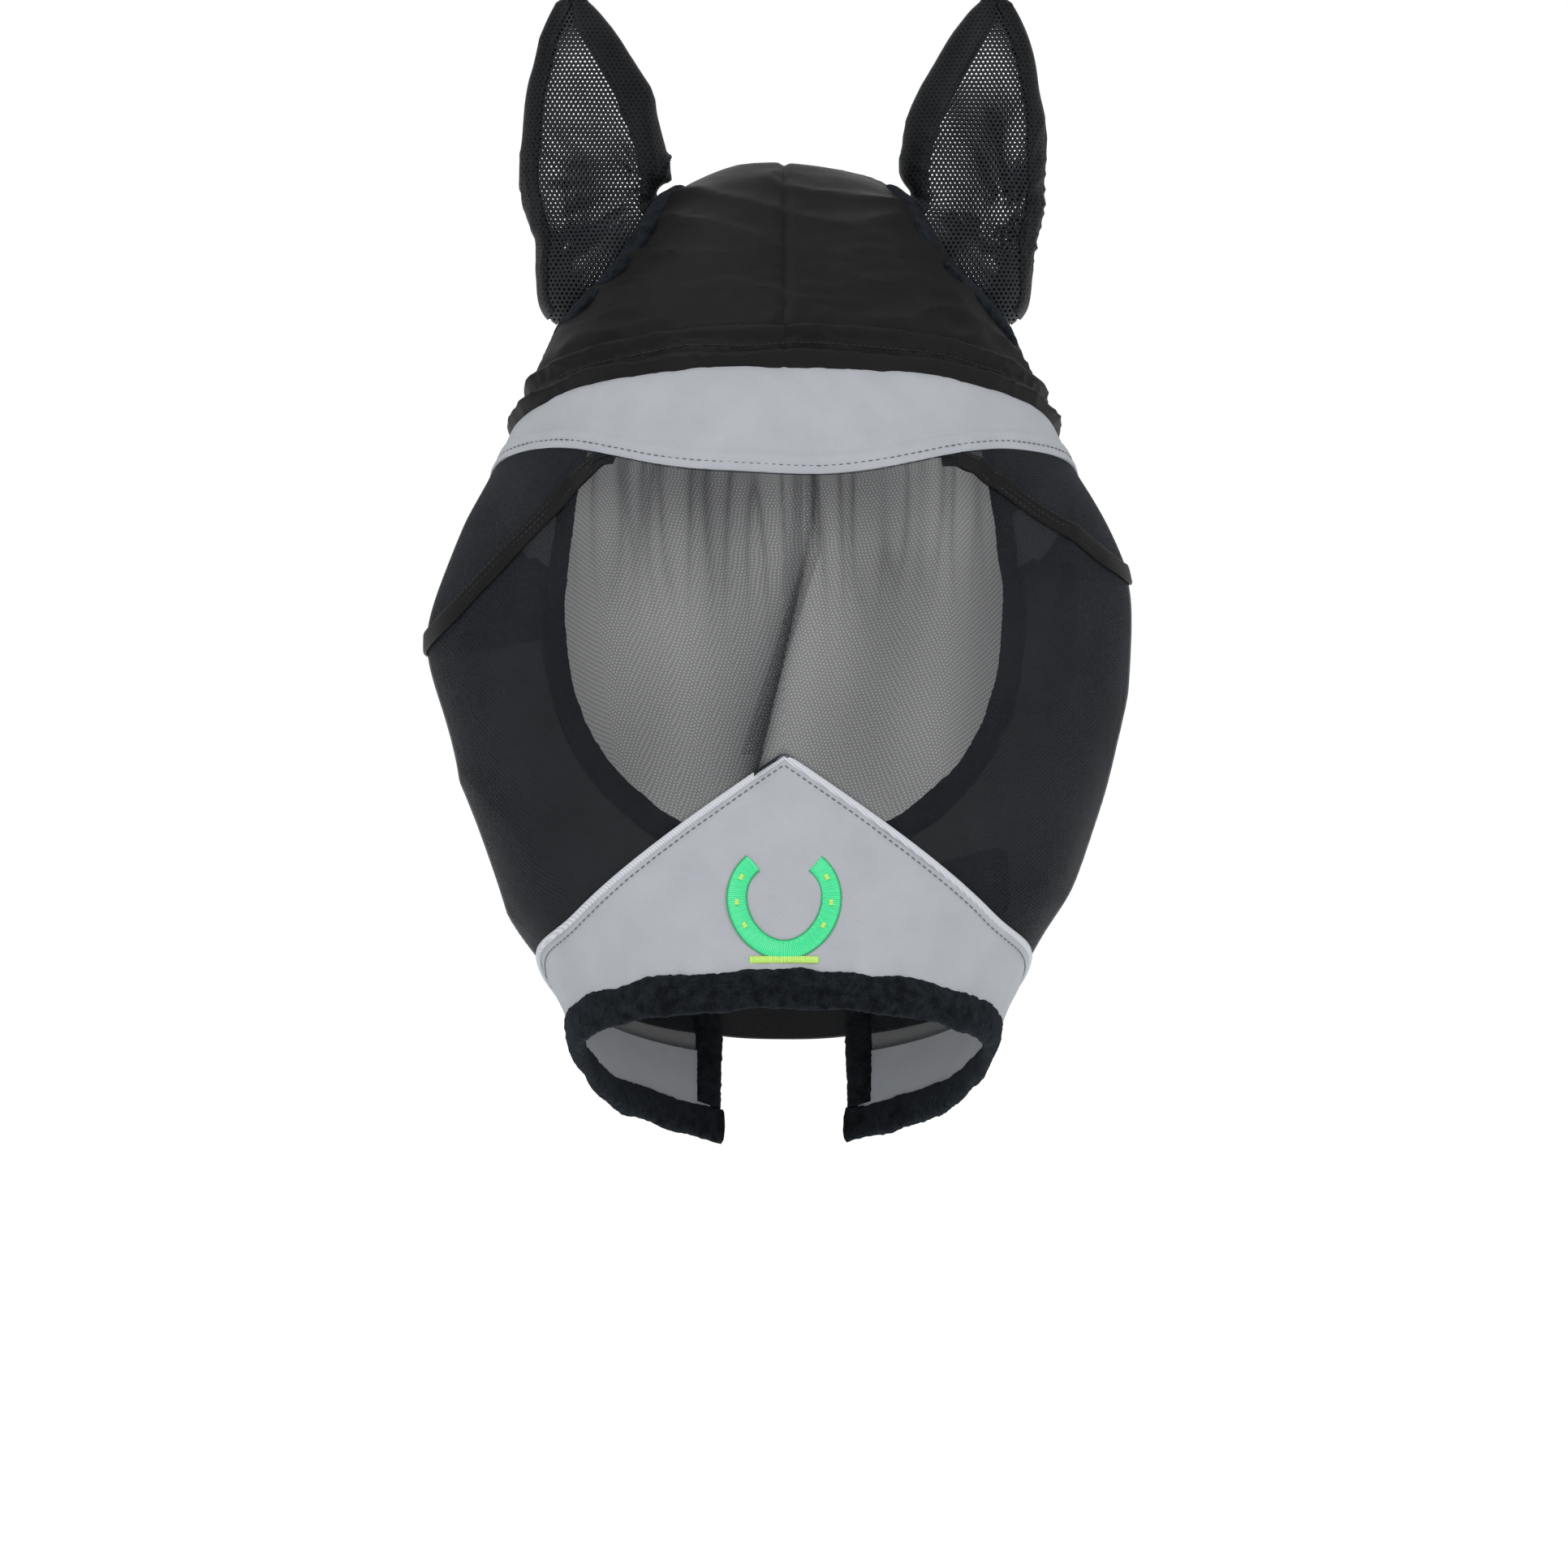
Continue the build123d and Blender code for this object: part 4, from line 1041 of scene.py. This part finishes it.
# ---------------------------------------------------------------- fleece edges and bindings
# The nose opening, the neck opening and both sides of the jaw slit are edged with black fleece strips folded over
# the cloth, thickest round the nose, where the mask rests on the horse.
fleece_points = node_points("nose_fleece")
fleece_row = -(fleece_points[:, 2].max() + fleece_points[:, 2].min()) / 2 / MM
a = np.linspace(-172, 172, 1200)
line, out = on_head(a, fleece_row)
keep = (abs(to_head(line)[:, 0]) > 25.5 * MM) | (abs(a) < 90)
path = even(line[keep], 1.3 * MM)
out = as_many(out[keep], len(path))
wander = np.stack([waves(path, 22 * MM, k) for k in (1.0, 5.0, 9.0)], 1)
path = path + 0.9 * MM * (wander - out * (wander * out).sum(1, keepdims=True))
nose_roll = band(
    "nose_fleece_edge", path, out, round_band(15.5 * MM, -1.5 * MM, 4.6 * MM, 26), False, 0.35 * MM, 0.9 * MM
)
settle(nose_roll, "hood", fleece, ["nose_fleece"])

# the neck opening's edge on the head: where the form meets the edge seen from the side
outside = past_neck(form)
crossings = {"crown": [], "throat": []}
for i, angle in enumerate(ANGLES):
    if angle < 100:
        continue
    signs = np.sign(outside[i])
    places = np.flatnonzero(signs[:-1] != signs[1:])
    for number, j in enumerate(places[:2]):
        share = outside[i, j] / (outside[i, j] - outside[i, j + 1])
        kind = "crown" if outside[i, j] < 0 else "throat"
        crossings[kind].append((angle, ROWS[j] + share * STEP))
crown_part = sorted(crossings["crown"], reverse=True)
throat_part = sorted(crossings["throat"])
edge = np.array([(180.0, crown_part[0][1])] + crown_part + throat_part)
edge_line, edge_face = on_head(edge[:, 0], edge[:, 1])
keep = (to_head(edge_line)[:, 0] > 25.5 * MM) | (edge[:, 1] < 120)
edge_line, edge_face = edge_line[keep], edge_face[keep]
along = lengths(edge_line[None], 1)[0]
places = np.linspace(0, along[-1], int(along[-1] / (1.4 * MM)))
neck_path = np.stack([np.interp(places, along, edge_line[:, c]) for c in range(3)], 1)
neck_out = np.stack([np.interp(places, along, edge_face[:, c]) for c in range(3)], 1)
for again in range(14):
    neck_path[1:-1] = (neck_path[:-2] + 2 * neck_path[1:-1] + neck_path[2:]) / 4
    neck_out[1:-1] = (neck_out[:-2] + 2 * neck_out[1:-1] + neck_out[2:]) / 4
for side_name, side in SIDES.items():
    flip = np.array((side, 1.0, 1.0))
    path, out = neck_path * flip, neck_out * flip
    profile = round_band(13.5 * MM, -1.5 * MM, 4.0 * MM, 24)
    binding = band(
        f"neck_fleece_edge_{side_name}", path[::-1] if side < 0 else path, out[::-1] if side < 0 else out, profile,
        False, 0.32 * MM, 0.7 * MM,
    )
    settle(binding, "hood", fleece, [f"neck_binding_{side_name}"])
    # the jaw slit's edge
    jaw_points = node_points(f"jaw_binding_{side_name}")
    jaw_tree, _ = node_tree([f"jaw_binding_{side_name}"])
    path, out = [], []
    for z in np.arange(jaw_points[:, 2].max() - 6 * MM, jaw_points[:, 2].min() - 5 * MM, -1.4 * MM):
        start = to_world((side * JAW_EDGE, 0.0, z))
        place, normal, _, _ = jaw_tree.ray_cast(Vector(start), Vector(BACK))
        if place is not None:
            normal = np.array(normal) * np.sign(np.dot(normal, BACK))
            path.append(np.array(place) + FLEECE_SINK * normal)
            out.append(normal)
    path, out = np.array(path), np.array(out)
    for again in range(6):
        path[1:-1] = (path[:-2] + 2 * path[1:-1] + path[2:]) / 4
        out[1:-1] = (out[:-2] + 2 * out[1:-1] + out[2:]) / 4
    edge_band = band(
        f"jaw_fleece_edge_{side_name}", path, out, round_band(12.0 * MM, -1.5 * MM, 3.0 * MM, 22), False, 0.3 * MM,
        0.3 * MM,
    )
    settle(edge_band, "hood", fleece, [f"jaw_binding_{side_name}"])

# ---------------------------------------------------------------- closure straps
# Two flat straps close the mask under the jaw. Each is webbing, sewn down on the horse's right cheek and free from
# there on, with hook tape on the inside of its end, which presses onto a pad of loop tape on the left cheek.
def seen_from_behind(node, x, z, outside):
    """Points on a node's outer or inner face at widths and heights in the head's frame, and directions out of it."""
    tree, _ = node_tree(node if isinstance(node, list) else [node])
    course = -BACK if outside else BACK
    places, outs = np.full(x.shape + (3,), np.nan), np.full(x.shape + (3,), np.nan)
    for index in np.ndindex(x.shape):
        start = to_world((x[index], 0.4 if outside else 0.0, z[index]))
        place, normal, _, _ = tree.ray_cast(Vector(start), Vector(course))
        if place is not None:
            normal = np.array(normal)
            places[index], outs[index] = place, normal * np.sign(normal @ BACK)
    for c in range(3):
        for grid in (places, outs):
            for row in grid[..., c]:
                bad = np.isnan(row)
                if bad.any() and not bad.all():
                    row[bad] = np.interp(np.flatnonzero(bad), np.flatnonzero(~bad), row[~bad])
            for column in grid[..., c].T:
                bad = np.isnan(column)
                if bad.any() and not bad.all():
                    column[bad] = np.interp(np.flatnonzero(bad), np.flatnonzero(~bad), column[~bad])
    for again in range(2):
        outs[:, 1:-1] = (outs[:, :-2] + 2 * outs[:, 1:-1] + outs[:, 2:]) / 4
    return places, outs / np.linalg.norm(outs, axis=-1, keepdims=True)


def rounded_grid(low, high, corner_low, corner_high, columns, rows):
    """Widths and heights of a grid that fills a rectangle with rounded corners at its low and high ends."""
    u, v = np.meshgrid(np.linspace(0, 1, columns), np.linspace(1, 0, rows))
    z = low[1] + (high[1] - low[1]) * v
    from_edge = np.minimum(z - low[1], high[1] - z)

    def pull(corner):
        if not corner:
            return 0 * z
        d = np.clip(corner - from_edge, 0, corner)
        return corner - np.sqrt(np.maximum(corner**2 - d**2, 0))

    x_low, x_high = low[0] + pull(corner_low), high[0] - pull(corner_high)
    return x_low + (x_high - x_low) * u, z


def round_the_edge(grid, inset=3):
    """A grid's points in order round it, some rows and columns in from its edge."""
    rows, columns = grid.shape[0] - 1 - inset, grid.shape[1] - 1 - inset
    rim = [(r, inset) for r in range(inset, rows + 1)] + [(rows, c) for c in range(inset, columns + 1)]
    rim += [(r, columns) for r in range(rows, inset - 1, -1)] + [(inset, c) for c in range(columns, inset - 1, -1)]
    return np.array([grid[p] for p in rim])


# Polyester webbing, dyed black: a close twill 0.7 mm wide, drawn at 1.0 mm, and dull.
webbing, tree, surface = new_material("polyester_webbing_black", 0.65, 0.2, 0.1)
weave = ribs_and_lanes(tree, 1.0 * MM, 2.0 * MM)
colour_by(tree, surface, "#0E0F10", "#2A2B2E", weave)
raise_by(tree, surface, weave, 0.5, 0.3 * MM)

# Nylon hook tape, moulded black: rows of stiff hooks 1.2 mm apart on a woven ground, so a coarse glinting stubble.
hook_tape, tree, surface = new_material("nylon_hook_tape_black", 0.4, 0.4)
dots = honeycomb(tree, 1.2 * MM)
spread = add_node(tree, "MapRange", {"From Min": 0.2, "From Max": 1.6}, {0: dots})
colour_by(tree, surface, "#0A0A0B", "#3A3B3E", spread.outputs[0])
raise_by(tree, surface, spread.outputs[0], 1.0, 0.6 * MM)

# Nylon loop tape, napped black: a matt tangle of fine loops about 0.6 mm across.
loop_tape, tree, surface = new_material("nylon_loop_tape_black", 0.9, 0.1, 0.3, "#8A929C")
place = object_place(tree)
nap = add_node(tree, "TexNoise", {"Scale": 1500.0, "Detail": 3.0}, {0: place})
colour_by(tree, surface, "#08090A", "#1F2124", nap.outputs[0])
raise_by(tree, surface, nap.outputs[0], 0.7, 0.4 * MM)

for name in ("throat", "jaw"):
    strap_box, tail_box = node_points(f"{name}_strap"), node_points(f"{name}_strap_tail")
    low = np.array((tail_box[:, 0].min(), strap_box[:, 2].min())) + 0.3 * MM
    high = np.array((strap_box[:, 0].max(), strap_box[:, 2].max())) - 0.3 * MM
    height = high[1] - low[1]
    x, z = rounded_grid(low, high, 2 * MM, 0.2 * height, 120, 26)
    top, out = seen_from_behind([f"{name}_strap", f"{name}_strap_tail"], x, z, True)
    for again in range(3):
        top[:, 1:-1] = (top[:, :-2] + 2 * top[:, 1:-1] + top[:, 2:]) / 4
    from_edge = np.minimum(np.minimum(z - low[1], high[1] - z), np.minimum(x - x[:, :1], x[:, -1:] - x))
    sag = 0.35 * MM * waves(to_head(top), 20 * MM, 3.0) - 0.5 * MM * step_between(from_edge, 1.4 * MM, 0)
    sag -= 0.3 * MM * bump(from_edge, 3 * MM, 0.7 * MM)
    outer = top + out * (sag - 0.1 * MM)[..., None]
    strap = sheet(f"{name}_closure_strap", outer, top - out * 1.7 * MM)
    strap.data.materials.append(webbing)
    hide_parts(f"{name}_strap", f"{name}_strap_tail")
    line, normal = round_the_edge(outer), round_the_edge(out)
    sewing = thread_row(f"{name}_strap_stitches", line, normal, 3.0 * MM, 2.1 * MM, 0.5 * MM)
    sewing.data.materials.append(threads["dark"])
    for piece in (strap, sewing):
        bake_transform(piece)

    box = node_points(f"{name}_hook_tape")
    x, z = rounded_grid(box[:, [0, 2]].min(0) + 0.3 * MM, box[:, [0, 2]].max(0) - 0.3 * MM, 1 * MM, 1 * MM, 46, 22)
    face, out = seen_from_behind(f"{name}_hook_tape", x, z, False)
    nubs = 0.25 * MM * abs(waves(to_head(face), 1.6 * MM, 1.0))
    hooks = sheet(f"{name}_hook_patch", face + out * 1.0 * MM, face - out * (nubs - 0.25 * MM)[..., None])
    settle(hooks, f"{name}_closure", hook_tape, [f"{name}_hook_tape"])

    box = node_points(f"{name}_loop_pad")
    corner = 0.2 * (box[:, 2].max() - box[:, 2].min())
    x, z = rounded_grid(box[:, [0, 2]].min(0) + 0.3 * MM, box[:, [0, 2]].max(0) - 0.3 * MM, corner, corner, 70, 34)
    face, out = seen_from_behind(f"{name}_loop_pad", x, z, True)
    from_edge = np.minimum(np.minimum(z - z.min(), z.max() - z), np.minimum(x - x[:, :1], x[:, -1:] - x))
    nap_lift = (
        0.3 * MM * waves(to_head(face), 2.2 * MM, 6.0) - 0.7 * MM * step_between(from_edge, 1.6 * MM, 0) - 0.35
        * MM
    )
    pad = sheet(f"{name}_loop_patch", face + out * nap_lift[..., None], face - out * 1.7 * MM)
    settle(pad, "hood", loop_tape, [f"{name}_loop_pad"])
    line, normal = round_the_edge(face + out * nap_lift[..., None]), round_the_edge(out)
    sewing = thread_row(f"{name}_loop_stitches", line, normal, 3.0 * MM, 2.1 * MM, 0.45 * MM)
    settle(sewing, "hood", threads["black"])

# ---------------------------------------------------------------- ears
# Each ear is a pocket of perforated black sports mesh, front and back sewn together down both edges under a 12 mm
# double hem. It is gathered at its foot, where it goes into the fleece ring, and the horse's ear holds it up.
EAR_LENGTH = 112.0  # millimetres
EAR_HEM = 12.0 * MM
foot_keys = [((h, h), 45.0) for h in (-10.6 / 2**0.5, 4.4 / 2**0.5)]
level_keys = [
    ((EAR_LENGTH * level * np.sin(np.radians(8)), EAR_LENGTH * level), 8 + 37 * (1 - level) ** 2.2)
    for level in (0.16, 0.30, 0.46, 0.64, 0.80, 0.90, 0.955)
]
keys = foot_keys + level_keys


def ear_net_holes(name, hole_size, light, dark, cover_between, in_holes):
    """Perforated polyester sports mesh, dyed black: round holes 1.1 mm wide and 1.95 mm apart, in staggered rows."""
    material, tree, surface = new_material(name, 0.5, 0.10, 0.03, "#A8B0B8")
    dots = honeycomb(tree, 1.95 * MM)
    open_share = add_node(
        tree, "MapRange",
        {"From Min": hole_size - 0.35, "From Max": hole_size + 0.35, "To Min": cover_between, "To Max": in_holes},
        {0: dots},
    )
    tree.links.new(open_share.outputs[0], surface.inputs["Alpha"])
    cloudy = add_node(tree, "TexNoise", {"Scale": 60.0, "Detail": 2.0}, {0: object_place(tree)})
    blend = add_node(tree, "Math", {"operation": "MULTIPLY_ADD", 1: -0.22}, {0: dots, 2: cloudy.outputs[0]})
    colour_by(tree, surface, dark, light, blend.outputs[0]).use_clamp = True
    raise_by(tree, surface, open_share.outputs[0], 0.6, 0.4 * MM)
    return material


ear_net = ear_net_holes("perforated_sports_mesh_black", 0.9, "#24272B", "#0E1012", 1.0, 0.02)
hem_net = ear_net_holes("perforated_sports_mesh_double_hem", 0.9, "#1A1C1F", "#090A0B", 1.0, 0.80)

for side_name, side in SIDES.items():
    seat = ear_seats[side_name]
    outward, upward, front = np.array((side, 0.0, 0.0)), seat["up"], seat["front"]
    tree, _ = node_tree([f"ear_{part}_{side_name}" for part in ("front", "back", "border")])
    steps = np.concatenate([np.linspace(0, 1, 9)[:-1], np.linspace(1, 8, 78)])
    turns = np.arange(0, 360, 3.0)
    ear_form = np.full((len(steps), len(turns), 3), np.nan)
    for i, k in enumerate(steps):
        out_at = np.interp(k, range(len(keys)), [key[0][0] for key in keys]) * MM
        up_at = np.interp(k, range(len(keys)), [key[0][1] for key in keys]) * MM
        tilt = np.radians(np.interp(k, range(len(keys)), [key[1] for key in keys]))
        middle = seat["middle"] + outward * out_at + upward * up_at
        across = outward * np.cos(tilt) - upward * np.sin(tilt)
        for j, t in enumerate(np.radians(turns)):
            course = across * np.cos(t) + front * np.sin(t)
            place, normal, _, reach = tree.ray_cast(Vector(middle + 0.05 * course), Vector(-course))
            if place is not None and reach < 0.05:
                ear_form[i, j] = place
    for i in range(len(steps)):
        for c in range(3):
            column = ear_form[i, :, c]
            bad = np.isnan(column)
            if bad.any() and not bad.all():
                column[bad] = np.interp(np.flatnonzero(bad), np.flatnonzero(~bad), column[~bad], period=len(turns))
    rows_known = ~np.isnan(ear_form).any((1, 2))
    ear_form = ear_form[rows_known]
    for again in range(2):
        ear_form = 0.5 * ear_form + 0.25 * (np.roll(ear_form, 1, 1) + np.roll(ear_form, -1, 1))
        ear_form[1:-1] = 0.5 * ear_form[1:-1] + 0.25 * (ear_form[:-2] + ear_form[2:])
    # the tip closes in a blunt round end
    last, tip_middle = ear_form[-1], ear_form[-1].mean(0)
    tip_rows = [
        tip_middle + (last - tip_middle) * np.cos(t) + upward * 3.0 * MM * np.sin(t)
        for t in np.radians((25, 50, 72, 88))
    ]
    # and the foot reaches on inside the fleece ring
    foot_middle = ear_form[0].mean(0)
    foot_rows = [
        foot_middle + (ear_form[0] - foot_middle) * (1 + 0.006 * deep) - seat["opening"] * deep * MM
        for deep in (9, 6, 3)
    ]
    ear_form = np.concatenate([foot_rows, ear_form, tip_rows])
    round_it = np.roll(ear_form, -1, 1) - np.roll(ear_form, 1, 1)
    ear_out = np.cross(round_it, np.gradient(ear_form, axis=0)) * side
    middles = ear_form.mean(1, keepdims=True)
    ear_out /= np.maximum(np.linalg.norm(ear_out, axis=-1, keepdims=True), 1e-12)
    ear_out *= np.sign((ear_out * (ear_form - middles)).sum(-1).mean())
    local = np.stack([(ear_form - seat["middle"]) @ axis for axis in (outward, front, upward)], -1)
    height = local[..., 2]
    stage = np.concatenate([[0.0] * 3, steps[rows_known], [9.0] * 4])[:, None]
    rise = step_between(stage, 1.0, 2.2)
    # gathers fan out of the ear's inner foot, and the pocket is slack lower down
    corner = np.array((-21.0, 0.0, 30.0)) * MM if side < 0 else np.array((18.0, 0.0, 20.0)) * MM
    fan_x, fan_z = local[..., 0] - corner[0], local[..., 2] - corner[2]
    far, fan = np.hypot(fan_x, fan_z), np.arctan2(fan_z, fan_x)
    fan_place = np.stack([fan * 3.4, far * 22, 0 * far + side * 4 + 2.0 * (local[..., 1] > 0)], -1)
    fan_folds = (
        1 - abs(waves(fan_place, 1.0, 3.0))
    ) ** 3 * np.exp(-far / (34 * MM)) * step_between(far, 1 * MM, 8 * MM)
    slack = waves(local, 24 * MM, 2.0 + side) * 1.3 * MM * step_between(height, 105 * MM, 60 * MM)
    fine = (
        1 - abs(waves(local, 8 * MM, 5.0 + side, (1, 1, 0.4)))
    ) ** 3 * 0.9 * MM * step_between(height, 55 * MM, 15 * MM)
    shape = rise * ((3.6 if side < 0 else 2.6) * MM * fan_folds + slack + fine)
    base_lift = 0.4 * MM - 1.5 * MM * step_between(stage, 1.0, 1.8)
    outer = ear_form + ear_out * (base_lift + shape + 0.6 * MM)[..., None]
    inner = ear_form + ear_out * (base_lift + shape)[..., None]
    flat_uv = local[..., [0, 2]]
    net_outer, net_inner, net_uv = outer[::-1], inner[::-1], flat_uv[::-1]
    if side < 0:
        net_outer, net_inner, net_uv = net_outer[:, ::-1], net_inner[:, ::-1], net_uv[:, ::-1]
    pocket = sheet(f"ear_pocket_{side_name}", net_outer, net_inner, closed=True, uv=net_uv)
    settle(pocket, f"{side_name}_ear", ear_net, [f"ear_front_{side_name}", f"ear_back_{side_name}"])

    # the double hem: strips round both edges, which meet over the tip
    half_width = np.linalg.norm(ear_form[:, 0] - ear_form[:, len(turns) // 2], axis=1) / 2
    hem_rows = np.arange(len(half_width))[9:]
    hem_parts = []
    for middle_turn, hem_width in ((0.0, 0.65 * EAR_HEM), (180.0, 1.1 * EAR_HEM)):
        round_turn = np.arccos(np.clip(1 - hem_width / half_width, 0.03, 1))
        hem_turn = np.degrees(np.arctan(0.68 * np.tan(round_turn)))
        share = np.linspace(-1, 1, 34)
        turn_at = (middle_turn + share[None] * hem_turn[hem_rows][:, None]) % 360 / 3.0
        j = np.floor(turn_at).astype(int) % len(turns)
        k, u = (j + 1) % len(turns), (turn_at - np.floor(turn_at))[..., None]
        i = hem_rows[:, None]

        def at(grid):
            return grid[i, j] * (1 - u) + grid[i, k] * u

        edge = 0.55 * MM * step_between(abs(share), 1.0, 0.9)[None, :, None]
        hem_out = at(ear_out)
        low_face = at(outer) + hem_out * 0.08 * MM
        top_face = low_face + hem_out * (0.25 * MM + edge)
        turned = (slice(None, None, -1), slice(None)) if side > 0 else (slice(None, None, -1), slice(None, None, -1))
        name = f"ear_hem_{side_name}_{int(middle_turn)}"
        hem_parts.append(sheet(name, top_face[turned], low_face[turned], uv=at(flat_uv)[turned]))
        for edge_name, c in (("front", 30), ("back", 2)):
            line = top_face[:-8, c] + hem_out[:-8, c] * 0.15 * MM
            name = f"ear_hem_stitches_{side_name}_{int(middle_turn)}_{edge_name}"
            row = thread_row(name, line, hem_out[:-8, c], 2.6 * MM, 1.8 * MM, 0.42 * MM)
            settle(row, f"{side_name}_ear", threads["black"])
    for number, hem in enumerate(hem_parts):
        settle(hem, f"{side_name}_ear", hem_net)
        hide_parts(f"ear_border_{side_name}")


# ---------------------------------------------------------------- studio
# A large pale floor far below the mask, soft light from both sides and above, and a pale room.
disc = [(12 * np.cos(t), 12 * np.sin(t), 0) for t in np.radians(np.arange(0, 360, 5))]
floor = new_piece("studio_floor", np.array(disc) + (0, 0, -0.62), [list(range(len(disc)))])
paper, tree, surface = new_material("studio_paper_matt_white", 0.9, 0.1)
grain = add_node(tree, "TexNoise", {"Scale": 3.0})
colour_by(tree, surface, "#F2F3F4", "#F8F9FA", grain.outputs[0])
surface.inputs["Emission Color"].default_value = (1, 1, 1, 1)
surface.inputs["Emission Strength"].default_value = 0.35
floor.data.materials.append(paper)


def soft_light(name, place, aim, size, power):
    data = bpy.data.lights.new(name, "AREA")
    data.shape, data.size, data.energy = "SQUARE", size, power
    lamp = bpy.data.objects.new(name, data)
    lamp.location = place
    lamp.rotation_euler = (Vector(aim) - Vector(place)).to_track_quat("-Z", "Y").to_euler()
    bpy.context.scene.collection.objects.link(lamp)


centre = (cad_box[0][0] + cad_box[1][0]) / 2, (cad_box[0][1] + cad_box[1][1]) / 2, (cad_box[0][2] + cad_box[1][2]) / 2
soft_light("key_light", (-0.9, -1.7, 1.3), centre, 1.1, 19)
soft_light("fill_light", (1.3, -1.6, 0.5), centre, 1.2, 10)
soft_light("back_light", (0.0, 1.6, 1.4), centre, 1.4, 5)
sun = bpy.data.lights.new("ceiling_bounce", "SUN")
sun.energy, sun.angle = 0.8, np.radians(80)
ceiling = bpy.data.objects.new("ceiling_bounce", sun)
bpy.context.scene.collection.objects.link(ceiling)
world = bpy.data.worlds.new("pale_room")
bpy.context.scene.world = world
world.use_nodes = True
tree = world.node_tree
seen = add_node(tree, "Background", {0: (1.0, 1.0, 1.0, 1.0), 1: 1.0})
lit = add_node(tree, "Background", {0: (1.0, 1.0, 1.0, 1.0), 1: 0.5})
path = add_node(tree, "LightPath")
room = add_node(tree, "MixShader", links={0: path.outputs["Is Camera Ray"], 1: lit.outputs[0], 2: seen.outputs[0]})
tree.links.new(room.outputs[0], tree.nodes["World Output"].inputs[0])
bpy.context.scene.view_settings.view_transform = "Standard"

camera_data = bpy.data.cameras.new("front_camera")
camera_data.angle = np.radians(16.7)
camera = bpy.data.objects.new("front_camera", camera_data)
camera.location = (0.0, -2.265, -0.243)
camera.rotation_euler = (np.pi / 2, 0, 0)
bpy.context.scene.collection.objects.link(camera)
bpy.context.scene.camera = camera

for cutter in (neck_cutter, *ear_cutters.values()):
    bpy.data.objects.remove(cutter)
